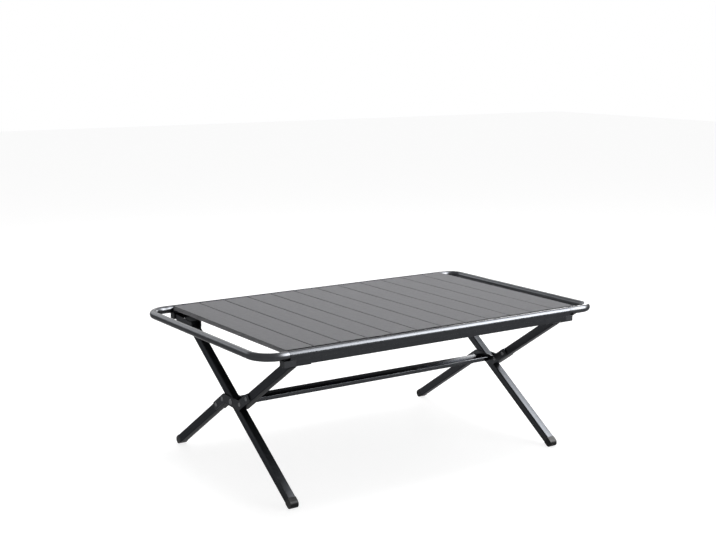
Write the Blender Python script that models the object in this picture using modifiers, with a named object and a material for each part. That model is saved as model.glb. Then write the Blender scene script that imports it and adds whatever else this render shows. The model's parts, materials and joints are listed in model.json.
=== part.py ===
"""Folding camp table: a roll-up slat top lies between two rails on crossed square-tube legs.

Units are metres, +Z is up, X runs along the rails and Y across them. The origin is on the
ground under the middle of the table. The front is the side at -Y.
"""

import math

import bmesh
import bpy
from mathutils import Matrix, Vector

# Clearances
GAP = 0.0003
PIN_CLEARANCE = 0.0003
TOUCH = 0.0010

# Slat top
SLAT_COUNT = 12
SLAT_PITCH = 0.083
SLAT_GROOVE = 0.0008
SLAT_THICKNESS = 0.012
SLAT_WALL = 0.0016
SLAT_EDGE_RADIUS = 0.0016
SLAT_CORNER_RADIUS = 0.0008
DECK_HEIGHT = 0.427
DECK_WIDTH = 0.644

# Rails: a round bead tube in a cradle over a box section, with a ledge for the slats
BEAD_DIAMETER = 0.022
BEAD_WALL = 0.002
RAIL_SHORT = 0.033
RAIL_NECK = 0.020
RAIL_GROOVE = 0.001
BOX_WIDTH = 0.020
BOX_HEIGHT = 0.015
BOX_WALL = 0.0018
BOX_RADIUS = 0.0015
BOX_SETBACK = 0.002
BOX_TRIM = 0.018
LEDGE_REACH = 0.012
LEDGE_THICKNESS = 0.0025
LEDGE_WEB = 0.002

# Loops at the two ends of the top
LOOP_DIAMETER = 0.022
HANG_LOOP_REACH = 0.080
HANG_LOOP_RADIUS = 0.058
END_LOOP_CLEAR = 0.067
END_LOOP_RADIUS = 0.045
LOOP_WALL = 0.0015
SPIGOT_DIAMETER = 0.0174
SPIGOT_IN_RAIL = 0.045
SPIGOT_ROOT = 0.004
COLLAR_START = 0.008
COLLAR_WIDTH = 0.017
COLLAR_DROP = 0.007
COLLAR_SKIN = 0.001
COLLAR_FROM = 205.0
COLLAR_TO = 325.0

# Legs
LEG_SIZE = 0.024
LEG_WALL = 0.0018
LEG_RADIUS = 0.003
LEG_INSET = 0.022
LEG_INSET_RIGHT = 0.032
PIVOT_Y = -0.0119
PIVOT_HEIGHT = 0.2146
PIN_DROP = 0.0475
FRONT_PIN_INSET = 0.022
FRONT_LEG_PAST_PIN = 0.014
BACK_PIN_INSET = 0.0893
BACK_LEG_PAST_PIN = 0.011
TOP_PIN_DIAMETER = 0.008
TOP_PIN_REACH = 0.0185

# Hub where the legs cross
HUB_CLEARANCE = 0.0005
HUB_END_CUT = 0.028
HUB_PLATE_THICKNESS = 0.003
HUB_PLATE_REACH = 0.104
HUB_PLATE_WAIST = 0.040
HUB_PLATE_RADIUS = 0.006
HUB_RIVET_NEAR = 0.0435
HUB_RIVET_FAR = 0.0885
RIVET_DIAMETER = 0.006
RIVET_HEAD_DIAMETER = 0.012
RIVET_HEAD_HEIGHT = 0.0022
PIVOT_BOLT_DIAMETER = 0.008
PIVOT_HEAD_DIAMETER = 0.016
PIVOT_HEAD_HEIGHT = 0.0035
BUSHING_DIAMETER = 0.012
SPACER_DIAMETER = 0.0105
SPACER_THICKNESS = 0.0018

# Stretcher between the two hubs
STRETCHER_WIDTH = 0.050
STRETCHER_THICKNESS = 0.0125
STRETCHER_WALL = 0.0018
STRETCHER_RADIUS = 0.002
STRETCHER_PLUG = 0.034
PIVOT_BOLT_GRIP = 0.026

# Feet
FOOT_HEAD = 0.012
FOOT_PLUG = 0.020
FOOT_EDGE_RADIUS = 0.0012

# Brackets under the rails
BRACKET_HALF_LENGTH = 0.040
BACK_BRACKET_OUTWARD = 0.021
BRACKET_FLANGE = 0.0018
BRACKET_WALL = 0.0032
BACK_BRACKET_WALL = 0.0052
BRACKET_CHEEK = 0.004
BRACKET_SIDE_CLEARANCE = 0.0006
BRACKET_ROOF = 0.0035
BRACKET_RADIUS = 0.0025
BRACKET_EDGE = 0.0006
POCKET_RUN_OUT = 0.010
ARM_HEEL = 0.0145
SADDLE_CLEARANCE = 0.0005
SADDLE_DEPTH = 0.007
SADDLE_LIP = 0.005
SADDLE_FLARE = 0.002
SADDLE_PRONG = 0.006
SADDLE_EDGE = 0.0008

# Fineness of the rounded forms
CORNER_STEPS = 3
ROUND_STEPS = 12
BEAD_STEPS = 24
SHARP_ANGLE = math.radians(35.0)
BEVEL_ANGLE = math.radians(50.0)
FILLET_SHARE = 0.49
WELD = 0.000002
TURN_WELD = 0.00001
MARK_SIZE = 0.05

# Places that follow from the sizes
DECK_LENGTH = SLAT_COUNT * SLAT_PITCH
RAIL_LENGTH = DECK_LENGTH - RAIL_SHORT
END_LOOP_REACH = RAIL_SHORT + END_LOOP_CLEAR
OVERALL_LENGTH = HANG_LOOP_REACH + LOOP_DIAMETER / 2 + RAIL_LENGTH + END_LOOP_REACH + LOOP_DIAMETER / 2
DECK_LEFT = HANG_LOOP_REACH + LOOP_DIAMETER / 2 - OVERALL_LENGTH / 2
RAIL_RIGHT = DECK_LEFT + RAIL_LENGTH
BEAD_RADIUS = BEAD_DIAMETER / 2
BEAD_Y = DECK_WIDTH / 2 + BEAD_RADIUS
BEAD_Z = DECK_HEIGHT - BEAD_RADIUS
BOX_TOP = DECK_HEIGHT - BEAD_DIAMETER - RAIL_GROOVE
BOX_BOTTOM = BOX_TOP - BOX_HEIGHT
LEDGE_TOP = DECK_HEIGHT - SLAT_THICKNESS - GAP
SLAT_LENGTH = DECK_WIDTH - 2 * TOUCH
SLAT_WIDTH = SLAT_PITCH - SLAT_GROOVE
LEG_HALF = LEG_SIZE / 2
LEG_SPREAD = RAIL_LENGTH - LEG_INSET - LEG_INSET_RIGHT
LEG_X = (DECK_LEFT + LEG_INSET, DECK_LEFT + LEG_INSET + LEG_SPREAD)
HUB_OFFSET = LEG_SIZE + HUB_CLEARANCE
HUB_PLATE_INNER = LEG_HALF + GAP
HUB_PLATE_OUTER = HUB_PLATE_INNER + HUB_PLATE_THICKNESS
STRETCHER_START = HUB_PLATE_OUTER + GAP + SPACER_THICKNESS
STRETCHER_LENGTH = LEG_SPREAD - 2 * STRETCHER_START
BRACKET_BOTTOM = BOX_BOTTOM - BRACKET_FLANGE
PIVOT = Vector((0.0, PIVOT_Y, PIVOT_HEIGHT))
FRONT_PIN = Vector((0.0, FRONT_PIN_INSET - DECK_WIDTH / 2, DECK_HEIGHT - PIN_DROP))
BACK_PIN = Vector((0.0, DECK_WIDTH / 2 - BACK_PIN_INSET, DECK_HEIGHT - PIN_DROP))
SIDES = ("left", "right")
EDGES = ("front", "back")

# Slopes of the legs, from the pivot to the top pins; a front leg's tubes run beside the pivot
FRONT_RISE = FRONT_PIN - PIVOT
BACK_RISE = BACK_PIN - PIVOT
FRONT_SLOPE = math.atan2(FRONT_RISE.z, -FRONT_RISE.y) + math.asin(HUB_OFFSET / FRONT_RISE.length)
BACK_SLOPE = math.atan2(BACK_RISE.z, BACK_RISE.y)
FRONT_LEG_PIN = math.sqrt(FRONT_RISE.length_squared - HUB_OFFSET ** 2)
BACK_LEG_PIN = BACK_RISE.length

# Directions up each leg, and square to it in the leg's own plane
FRONT_UP = Vector((0.0, -math.cos(FRONT_SLOPE), math.sin(FRONT_SLOPE)))
FRONT_OUT = Vector((0.0, math.sin(FRONT_SLOPE), math.cos(FRONT_SLOPE)))
BACK_UP = Vector((0.0, math.cos(BACK_SLOPE), math.sin(BACK_SLOPE)))
BACK_OUT = Vector((0.0, -math.sin(BACK_SLOPE), math.cos(BACK_SLOPE)))
RIGHT = Vector((1.0, 0.0, 0.0))
ACROSS_LEG = Matrix.Rotation(math.pi / 2, 4, "Y")

FINISHES = {
    "satin_dark": ((0.060, 0.061, 0.064), 0.42, 0.85),
    "slat_grey": ((0.190, 0.191, 0.195), 0.52, 0.35),
    "cast_grey": ((0.090, 0.091, 0.094), 0.50, 0.70),
    "steel": ((0.330, 0.330, 0.335), 0.32, 1.0),
    "dark_plastic": ((0.030, 0.030, 0.032), 0.55, 0.0),
    "nylon": ((0.110, 0.110, 0.112), 0.50, 0.0),
}


def clear_scene():
    """Remove every object of the open scene."""
    for obj in list(bpy.data.objects):
        bpy.data.objects.remove(obj, do_unlink=True)


def new_collection(name):
    """Return a new collection under the scene's own."""
    collection = bpy.data.collections.new(name)
    bpy.context.scene.collection.children.link(collection)
    return collection


def finish(obj, kind):
    """Give an object its own material of one of the named finishes."""
    colour, roughness, metallic = FINISHES[kind]
    material = bpy.data.materials.new(obj.name)
    material.use_nodes = True
    shader = material.node_tree.nodes["Principled BSDF"]
    shader.inputs["Base Color"].default_value = (*colour, 1.0)
    shader.inputs["Roughness"].default_value = roughness
    shader.inputs["Metallic"].default_value = metallic
    obj.data.materials.clear()
    obj.data.materials.append(material)


def arc(centre, radius, start, end, steps):
    """Points on an arc, from one angle to another in degrees, ends included."""
    points = []
    for step in range(steps + 1):
        angle = math.radians(start + (end - start) * step / steps)
        points.append((centre[0] + radius * math.cos(angle), centre[1] + radius * math.sin(angle)))
    return points


def circle(centre, radius, steps):
    """Points round a whole circle."""
    return arc(centre, radius, 0.0, 360.0, steps)[:-1]


def filleted(corners, steps=CORNER_STEPS):
    """Round the corners of an outline; each corner is (x, y, radius)."""
    points = []
    count = len(corners)
    for index, (x, y, radius) in enumerate(corners):
        here = Vector((x, y))
        if radius <= 0.0:
            points.append((x, y))
            continue
        before = Vector(corners[index - 1][:2]) - here
        after = Vector(corners[(index + 1) % count][:2]) - here
        half = before.angle(after) / 2
        reach = radius / math.tan(half)
        reach = min(reach, FILLET_SHARE * before.length, FILLET_SHARE * after.length)
        swing = reach * math.tan(half)
        start = here + before.normalized() * reach
        finish_point = here + after.normalized() * reach
        middle = here + (before.normalized() + after.normalized()).normalized() * reach / math.cos(half)
        first = (start - middle).normalized()
        last = (finish_point - middle).normalized()
        for step in range(steps + 1):
            blend = first.slerp(last, step / steps)
            point = middle + blend * swing
            points.append((point.x, point.y))
    return points


def rounded_box(width, height, radius, steps=CORNER_STEPS):
    """Outline of a box with rounded corners about the local origin."""
    corners = []
    for x, y in ((-1, -1), (1, -1), (1, 1), (-1, 1)):
        corners.append((x * width / 2, y * height / 2, radius))
    return filleted(corners, steps)


def mesh_from_curve(name, curve):
    """Make a closed mesh of a curve, with its caps welded, and remove the curve."""
    guide = bpy.data.objects.new(name + "_guide", curve)
    bpy.context.scene.collection.objects.link(guide)
    graph = bpy.context.evaluated_depsgraph_get()
    graph.update()
    mesh = bpy.data.meshes.new_from_object(guide.evaluated_get(graph))
    mesh.name = name
    edit = bmesh.new()
    edit.from_mesh(mesh)
    bmesh.ops.remove_doubles(edit, verts=edit.verts, dist=WELD)
    bmesh.ops.recalc_face_normals(edit, faces=edit.faces)
    edit.to_mesh(mesh)
    edit.free()
    mesh.materials.clear()
    bpy.data.objects.remove(guide, do_unlink=True)
    bpy.data.curves.remove(curve)
    return mesh


def prism(name, rings, depth):
    """Extrude a flat outline along local Z; rings after the first are holes through it."""
    curve = bpy.data.curves.new(name, "CURVE")
    curve.dimensions = "2D"
    curve.fill_mode = "BOTH"
    curve.extrude = depth / 2
    for ring in rings:
        spline = curve.splines.new("POLY")
        spline.points.add(len(ring) - 1)
        for point, (x, y) in zip(spline.points, ring):
            point.co = (x, y, 0.0, 1.0)
        spline.use_cyclic_u = True
    return mesh_from_curve(name, curve)


def round_tube(name, path, diameter):
    """Sweep a round section along a path of points, with both ends closed."""
    curve = bpy.data.curves.new(name, "CURVE")
    curve.dimensions = "3D"
    curve.bevel_depth = diameter / 2
    curve.bevel_resolution = 2
    curve.use_fill_caps = True
    spline = curve.splines.new("POLY")
    spline.points.add(len(path) - 1)
    for point, place in zip(spline.points, path):
        point.co = (*place, 1.0)
    return mesh_from_curve(name, curve)


def turned(name, profile, steps=ROUND_STEPS):
    """Turn a profile of (radius, height) points, listed from top to bottom, about local Z."""
    mesh = bpy.data.meshes.new(name + "_profile")
    points = [(radius, 0.0, height) for radius, height in profile]
    edges = [(index, index + 1) for index in range(len(points) - 1)]
    mesh.from_pydata(points, edges, [])
    guide = bpy.data.objects.new(name + "_guide", mesh)
    bpy.context.scene.collection.objects.link(guide)
    screw = guide.modifiers.new("turn", "SCREW")
    screw.axis = "Z"
    screw.angle = math.tau
    screw.steps = steps
    screw.render_steps = steps
    screw.use_merge_vertices = True
    screw.merge_threshold = TURN_WELD
    graph = bpy.context.evaluated_depsgraph_get()
    graph.update()
    result = bpy.data.meshes.new_from_object(guide.evaluated_get(graph))
    result.name = name
    bpy.data.objects.remove(guide, do_unlink=True)
    bpy.data.meshes.remove(mesh)
    return result


def block(name, size, centre=(0.0, 0.0, 0.0)):
    """Make a box mesh of a size about a centre."""
    edit = bmesh.new()
    place = Matrix.Translation(centre) @ Matrix.Diagonal((*size, 1.0))
    bmesh.ops.create_cube(edit, size=1.0, matrix=place)
    mesh = bpy.data.meshes.new(name)
    edit.to_mesh(mesh)
    edit.free()
    return mesh


def gathered(name, meshes):
    """Join (mesh, matrix) pairs into one mesh of separate solids."""
    edit = bmesh.new()
    for mesh, matrix in meshes:
        piece = mesh.copy()
        piece.transform(matrix)
        if matrix.determinant() < 0:
            piece.flip_normals()
        edit.from_mesh(piece)
        bpy.data.meshes.remove(piece)
    result = bpy.data.meshes.new(name)
    edit.to_mesh(result)
    edit.free()
    return result


def axes(x_axis, y_axis, z_axis, place=(0.0, 0.0, 0.0)):
    """Matrix whose columns are the three axes, at a place."""
    matrix = Matrix((x_axis, y_axis, z_axis)).transposed().to_4x4()
    matrix.translation = place
    return matrix


class Table:
    """Holds the collections and the empties that the pieces hang on."""

    def __init__(self):
        self.parts = new_collection("folding_camp_table")
        self.tools = new_collection("cutters")

    def empty(self, name, place):
        """Add an empty that marks a joint's axis or a body's place."""
        mark = bpy.data.objects.new(name, None)
        mark.empty_display_size = MARK_SIZE
        mark.location = place
        self.parts.objects.link(mark)
        return mark

    def piece(self, name, mesh, kind, matrix, parent=None, smooth=True):
        """Add a named piece; the matrix places it in the table's own frame."""
        obj = bpy.data.objects.new(name, mesh)
        self.parts.objects.link(obj)
        place = matrix.to_translation()
        if parent is not None:
            obj.parent = parent
            place = place - parent.location
        obj.location = place
        obj.rotation_euler = matrix.to_euler()
        if smooth:
            mesh.shade_smooth()
            mesh.set_sharp_from_angle(angle=SHARP_ANGLE)
        finish(obj, kind)
        return obj

    def combine(self, obj, mesh, matrix, operation="DIFFERENCE"):
        """Cut a mesh from a piece, or join it on; the matrix is in the piece's own frame."""
        tool = bpy.data.objects.new(f"{obj.name}_{operation.lower()}_{len(obj.modifiers)}", mesh)
        self.tools.objects.link(tool)
        tool.parent = obj
        tool.matrix_local = matrix
        tool.hide_render = True
        tool.display_type = "WIRE"
        change = obj.modifiers.new(tool.name, "BOOLEAN")
        change.operation = operation
        change.solver = "EXACT"
        change.object = tool

    def bevel(self, obj, width, segments=2):
        """Round the edges of a piece that turn more than a right angle's half."""
        rounding = obj.modifiers.new("edges", "BEVEL")
        rounding.width = width
        rounding.segments = segments
        rounding.limit_method = "ANGLE"
        rounding.angle_limit = BEVEL_ANGLE


def slat_outline():
    """Section of a slat: X from its hinge line, Y down from its top."""
    left = SLAT_GROOVE / 2
    right = SLAT_PITCH - SLAT_GROOVE / 2
    return filleted([
        (left, -SLAT_THICKNESS, SLAT_CORNER_RADIUS),
        (right, -SLAT_THICKNESS, SLAT_CORNER_RADIUS),
        (right, 0.0, SLAT_EDGE_RADIUS),
        (left, 0.0, SLAT_EDGE_RADIUS),
    ])


def slat_chambers():
    """The two long chambers of a slat's section, either side of its middle rib."""
    left = SLAT_GROOVE / 2 + SLAT_WALL
    middle = SLAT_PITCH / 2
    top = -SLAT_WALL
    bottom = -SLAT_THICKNESS + SLAT_WALL
    rings = []
    for start, end in ((left, middle - SLAT_WALL / 2), (middle + SLAT_WALL / 2, SLAT_PITCH - left)):
        rings.append([(start, bottom), (end, bottom), (end, top), (start, top)])
    return rings


def build_slats(table):
    """Twelve hollow slats, each with its origin on the hinge line in the groove to its left."""
    slat = prism("slat", [slat_outline()] + slat_chambers(), SLAT_LENGTH)
    across = axes(RIGHT, Vector((0, 0, 1)), Vector((0, -1, 0)))
    for number in range(1, SLAT_COUNT + 1):
        hinge = Vector((DECK_LEFT + (number - 1) * SLAT_PITCH, 0.0, DECK_HEIGHT))
        axis = table.empty(f"slat_{number:02d}_hinge", hinge)
        table.piece(f"slat_{number:02d}", slat.copy(), "slat_grey", Matrix.Translation(hinge) @ across, axis)


def rail_outline():
    """Section of a rail without its bead: X inward from the face that the slats meet, Y is height."""
    cradle = BEAD_RADIUS + GAP
    outer_lip = 180.0 + math.degrees(math.acos(RAIL_NECK / 2 / cradle))
    inner_lip = 360.0 + math.degrees(math.asin((LEDGE_TOP - BEAD_Z) / cradle))
    outer = -BOX_SETBACK - BOX_WIDTH
    inner = -BOX_SETBACK
    points = arc((-BEAD_RADIUS, BEAD_Z), cradle, outer_lip, inner_lip, BEAD_STEPS // 2)
    points.append((LEDGE_REACH, LEDGE_TOP))
    points.append((LEDGE_REACH, LEDGE_TOP - LEDGE_THICKNESS))
    points.append((LEDGE_WEB, LEDGE_TOP - LEDGE_THICKNESS))
    points.append((LEDGE_WEB, BOX_TOP + LEDGE_WEB - inner))
    points.append((inner, BOX_TOP))
    points += filleted([
        (inner, BOX_BOTTOM, BOX_RADIUS),
        (outer, BOX_BOTTOM, BOX_RADIUS),
        (outer, BOX_TOP, BOX_RADIUS / 2),
        (-BEAD_RADIUS - RAIL_NECK / 2, BOX_TOP, 0.0),
        (-BEAD_RADIUS - RAIL_NECK / 2, BOX_TOP + RAIL_GROOVE, 0.0),
        (inner, BOX_TOP + RAIL_GROOVE, 0.0),
    ], 2)[:-2]
    return points


def build_rails(table, top):
    """Front and back rails with their bead tubes; the box sections are cut short at both ends."""
    tube = [
        circle((-BEAD_RADIUS, BEAD_Z), BEAD_RADIUS, BEAD_STEPS),
        circle((-BEAD_RADIUS, BEAD_Z), BEAD_RADIUS - BEAD_WALL, ROUND_STEPS + 4),
    ]
    box = rounded_box(BOX_WIDTH - 2 * BOX_WALL, BOX_HEIGHT - 2 * BOX_WALL, BOX_RADIUS / 2, 1)
    box_x = -BOX_SETBACK - BOX_WIDTH / 2
    box_y = (BOX_TOP + BOX_BOTTOM) / 2
    chamber = [(x + box_x, y + box_y) for x, y in box]
    middle = DECK_LEFT + RAIL_LENGTH / 2
    trim_height = BOX_HEIGHT + 2 * TOUCH
    trim_centre = BOX_TOP - trim_height / 2 + RAIL_GROOVE / 2
    for edge, side in zip(EDGES, (-1, 1)):
        name = f"{edge}_rail"
        inward = Vector((0, -side, 0))
        along = inward.cross(Vector((0, 0, 1)))
        place = axes(inward, Vector((0, 0, 1)), along, Vector((middle, side * DECK_WIDTH / 2, 0)))
        rail = table.piece(name, prism(name, [rail_outline(), chamber], RAIL_LENGTH), "satin_dark", place, top)
        for end in (-1, 1):
            size = (BOX_WIDTH + 4 * TOUCH, trim_height, 2 * BOX_TRIM)
            centre = (box_x, trim_centre, end * RAIL_LENGTH / 2)
            table.combine(rail, block(name + "_trim", size, centre), Matrix())
        table.piece(name + "_bead", prism(name + "_bead", tube, RAIL_LENGTH), "satin_dark", place, top)


def cheek_front(pin, roof, floor):
    """Side outline of a front bracket: a wall at the rail and a saddle that hooks over the pin."""
    slot = TOP_PIN_DIAMETER / 2 + SADDLE_CLEARANCE
    wall = -BOX_SETBACK + GAP
    outline = filleted([
        (wall, roof, 0.0),
        (wall, floor, BRACKET_RADIUS),
        (pin[0] - slot, pin[1] - SADDLE_DEPTH, BRACKET_RADIUS / 2),
    ], 2)
    return outline + saddle(pin, slot, roof)


def saddle(pin, slot, roof):
    """The saddle's open slot and its low inner lip, from the slot's outer wall to the roof."""
    points = arc(pin, slot, 180.0, 0.0, 6)
    lip = pin[0] + slot + SADDLE_FLARE
    points += filleted([
        (lip, pin[1] - SADDLE_LIP, SADDLE_EDGE),
        (lip + SADDLE_PRONG, pin[1] - SADDLE_LIP, BRACKET_RADIUS),
        (lip + SADDLE_PRONG + SADDLE_FLARE, pin[1] + SADDLE_LIP, BRACKET_RADIUS),
        (lip + SADDLE_PRONG, roof, BRACKET_RADIUS / 2),
    ], 2)
    return points


def cheek_back(pin, roof, floor):
    """Side outline of a back bracket: a tapered arm that reaches inboard to its saddle."""
    slot = TOP_PIN_DIAMETER / 2 + SADDLE_CLEARANCE
    wall = -BOX_SETBACK + GAP
    outline = filleted([
        (wall, roof, 0.0),
        (wall, floor + SADDLE_DEPTH, BRACKET_RADIUS),
        (wall + ARM_HEEL, floor - SADDLE_DEPTH, BRACKET_RADIUS),
        (pin[0] - slot - SADDLE_PRONG, pin[1] - SADDLE_DEPTH, BRACKET_RADIUS),
        (pin[0] - slot, pin[1] - SADDLE_DEPTH, BRACKET_RADIUS / 2),
    ], 2)
    return outline + saddle(pin, slot, roof)


def build_brackets(table, top):
    """Four cast brackets, each clamped on a rail's box and open below for a leg's top pin."""
    half = LEG_HALF + BRACKET_SIDE_CLEARANCE + BRACKET_CHEEK
    roof = BOX_TOP - GAP
    plans = (
        ("front", -1, FRONT_PIN, cheek_front, BRACKET_BOTTOM, BRACKET_WALL, BRACKET_HALF_LENGTH),
        ("back", 1, BACK_PIN, cheek_back, BRACKET_BOTTOM, BACK_BRACKET_WALL, BACK_BRACKET_OUTWARD),
    )
    box_ends = (LEG_INSET - BOX_TRIM, RAIL_LENGTH - BOX_TRIM - LEG_INSET - LEG_SPREAD)
    for name, side, pin, cheek, floor, wall, past_leg in plans:
        reach = DECK_WIDTH / 2 - abs(pin.y)
        outline = cheek((reach, pin.z), roof, floor)
        for hand, leg_x, outward, box_end in zip(SIDES, LEG_X, (-1, 1), box_ends):
            inward = Vector((0, -side, 0))
            across = inward.cross(Vector((0, 0, 1)))
            matrix = axes(inward, Vector((0, 0, 1)), across, Vector((leg_x, side * DECK_WIDTH / 2, 0)))
            bracket = table.piece(f"{name}_bracket_{hand}", prism("cheeks", [outline], 2 * half),
                                  "cast_grey", matrix, top)
            clear = LEG_HALF + BRACKET_SIDE_CLEARANCE
            start = -BOX_SETBACK + GAP + wall
            span = reach + 2 * SADDLE_PRONG + POCKET_RUN_OUT - start
            deep = roof - BRACKET_ROOF - pin.z + 2 * SADDLE_DEPTH
            pocket = block("pocket", (span, deep, 2 * clear),
                           (start + span / 2, roof - BRACKET_ROOF - deep / 2, 0))
            table.combine(bracket, pocket, Matrix())
            clamp_bodies(table, bracket, outward * across.x, box_end, past_leg, roof)
            table.bevel(bracket, BRACKET_EDGE, 1)


def clamp_bodies(table, bracket, outward, box_end, past_leg, roof):
    """Join on the angle that holds the box and the block that closes the box's end."""
    outer = -BOX_SETBACK - BOX_WIDTH
    inner = -BOX_SETBACK + GAP
    angle = [
        (outer, BRACKET_BOTTOM),
        (inner + BRACKET_WALL, BRACKET_BOTTOM),
        (inner + BRACKET_WALL, roof),
        (inner, roof),
        (inner, BOX_BOTTOM - GAP),
        (outer, BOX_BOTTOM - GAP),
    ]
    shift = Matrix.Translation((0, 0, outward * (past_leg - BRACKET_HALF_LENGTH) / 2))
    table.combine(bracket, prism("clamp", [angle], BRACKET_HALF_LENGTH + past_leg), shift, "UNION")
    start = box_end + GAP
    length = past_leg - start
    wide = inner + BRACKET_WALL / 2 - outer
    high = roof - BRACKET_BOTTOM
    centre = (outer + wide / 2, BRACKET_BOTTOM + high / 2, outward * (start + length / 2))
    table.combine(bracket, block("end_block", (wide, high, length), centre), Matrix(), "UNION")


def loop_path(reach, radius, end, tube_start):
    """Centre line of an end loop: out from one bead, round two corners and back to the other."""
    side_x = end * reach
    path = [(end * tube_start, -BEAD_Y, 0.0)]
    corners = arc((reach - radius, -BEAD_Y + radius), radius, -90.0, 0.0, 8)
    path += [(end * x, y, 0.0) for x, y in corners]
    path += [(end * x, -y, 0.0) for x, y in reversed(corners)]
    path.append((end * tube_start, BEAD_Y, 0.0))
    return path


def build_loop(table, name, rail_end, end, reach, radius):
    """A bent round tube whose two ends are drawn down to slide in the rails' beads."""
    place = Vector((rail_end, 0.0, BEAD_Z))
    body = table.empty(name + "_slide", place)
    mesh = round_tube(name, loop_path(reach, radius, end, GAP), LOOP_DIAMETER)
    loop = table.piece(name, mesh, "satin_dark", Matrix.Translation(place), body)
    spigot = turned("spigot", [
        (0.0, SPIGOT_ROOT / 2),
        (SPIGOT_DIAMETER / 2, SPIGOT_ROOT / 2),
        (SPIGOT_DIAMETER / 2, TOUCH - SPIGOT_IN_RAIL),
        (SPIGOT_DIAMETER / 2 - TOUCH, -SPIGOT_IN_RAIL),
        (0.0, -SPIGOT_IN_RAIL),
    ])
    bore_radius = SPIGOT_DIAMETER / 2 - LOOP_WALL
    bore = turned("spigot_bore", [
        (0.0, SPIGOT_ROOT + TOUCH),
        (bore_radius, SPIGOT_ROOT + TOUCH),
        (bore_radius, -SPIGOT_IN_RAIL - TOUCH),
        (0.0, -SPIGOT_IN_RAIL - TOUCH),
    ])
    outward = Vector((end, 0, 0))
    up = Vector((0, 0, 1))
    places = [axes(up.cross(outward), up, outward, Vector((0.0, side * BEAD_Y, 0.0))) for side in (-1, 1)]
    table.combine(loop, gathered("spigots", [(spigot, place) for place in places]), Matrix(), "UNION")
    hollow = round_tube("hollow", loop_path(reach, radius, end, SPIGOT_ROOT), LOOP_DIAMETER - 2 * LOOP_WALL)
    table.combine(loop, hollow, Matrix())
    table.combine(loop, gathered("spigot_bores", [(bore, place) for place in places]), Matrix())
    return body


def build_collars(table, body):
    """Two saddle collars on the end loop's arms, deeper below and tapered outward."""
    inner = LOOP_DIAMETER / 2 + GAP
    thin = COLLAR_SKIN
    ring_out = []
    ring_in = []
    for step in range(ROUND_STEPS + 1):
        turn = math.radians(COLLAR_FROM + (COLLAR_TO - COLLAR_FROM) * step / ROUND_STEPS)
        below = max(0.0, -math.sin(turn))
        depth = thin + (COLLAR_DROP - thin) * below * below
        ring_out.append(((inner + depth) * math.cos(turn), (inner + depth) * math.sin(turn)))
        ring_in.append((inner * math.cos(turn), inner * math.sin(turn)))
    collar = prism("collar", [ring_out + ring_in[::-1]], COLLAR_WIDTH)
    for vertex in collar.vertices:
        radius = math.hypot(vertex.co.x, vertex.co.y)
        if vertex.co.z > 0 and radius > inner + thin:
            vertex.co.x *= (inner + thin) / radius
            vertex.co.y *= (inner + thin) / radius
    along = RAIL_RIGHT + COLLAR_START + COLLAR_WIDTH / 2
    for edge, side in zip(EDGES, (-1, 1)):
        mesh = collar.copy()
        if side > 0:
            mesh.transform(Matrix.Diagonal((-1.0, 1.0, 1.0, 1.0)))
            mesh.flip_normals()
        matrix = axes(Vector((0, 1, 0)), Vector((0, 0, 1)), RIGHT, Vector((along, side * BEAD_Y, BEAD_Z)))
        table.piece(f"end_loop_collar_{edge}", mesh, "dark_plastic", matrix, body)


def leg_matrix(leg_x, up, out, along, offset):
    """Place of a leg piece whose local Z runs up the leg and local Y square to it."""
    place = PIVOT + up * along + out * offset
    place.x = leg_x
    return axes(out.cross(up), out, up, place)


def plate_matrix(leg_x, up, out, shift):
    """Place of a flat piece whose local X runs up the leg and local Y square to it."""
    return axes(up, out, up.cross(out), Vector((leg_x + shift, PIVOT.y, PIVOT.z)))


def quarter_dome(radius, height):
    """Points over a low dome, from its crown down to its rim."""
    points = []
    for step in range(CORNER_STEPS + 1):
        turn = math.pi / 2 * step / CORNER_STEPS
        points.append((radius * math.sin(turn), height * math.cos(turn)))
    points[0] = (0.0, height)
    return points


def pin_mesh(name, diameter, reach, head=0.0, head_height=0.0):
    """A round pin about the local origin, plain or with a domed head at each end."""
    radius = diameter / 2
    if not head:
        soft = radius / 5
        return turned(name, [
            (0.0, reach),
            (radius - soft, reach),
            (radius, reach - soft),
            (radius, -reach + soft),
            (radius - soft, -reach),
            (0.0, -reach),
        ])
    dome = [(r, reach + z) for r, z in quarter_dome(head / 2, head_height)]
    return turned(name, dome + [(radius, reach), (radius, -reach)] + [(r, -z) for r, z in reversed(dome)])


def leg_tube(table, name, parent, matrix, length, holes):
    """A square tube from the local origin up, drilled across at (height) places."""
    inner = LEG_SIZE - 2 * LEG_WALL
    mesh = prism(name, [
        rounded_box(LEG_SIZE, LEG_SIZE, LEG_RADIUS),
        rounded_box(inner, inner, LEG_RADIUS - LEG_WALL, 2),
    ], length)
    mesh.transform(Matrix.Translation((0, 0, length / 2)))
    tube = table.piece(name, mesh, "satin_dark", matrix, parent)
    drills = []
    for height, diameter in holes:
        radius = diameter / 2 + PIN_CLEARANCE
        drill = pin_mesh("drill", 2 * radius, LEG_SIZE)
        drills.append((drill, Matrix.Translation((0, 0, height)) @ ACROSS_LEG))
    table.combine(tube, gathered(name + "_drills", drills), Matrix())
    return tube


def foot_mesh(name):
    """A rounded end cap: local Z runs up the leg from the seam, the plug goes into the tube."""
    outline = [(LEG_HALF, 0.0), (-LEG_HALF, 0.0), (-LEG_HALF, -FOOT_HEAD)]
    outline += arc((0.0, -FOOT_HEAD), LEG_HALF, 180.0, 360.0, 16)[1:]
    head = prism(name, [outline], LEG_SIZE)
    turn = axes((0, 1, 0), (0, 0, 1), (1, 0, 0))
    head.transform(turn)
    return head


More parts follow.
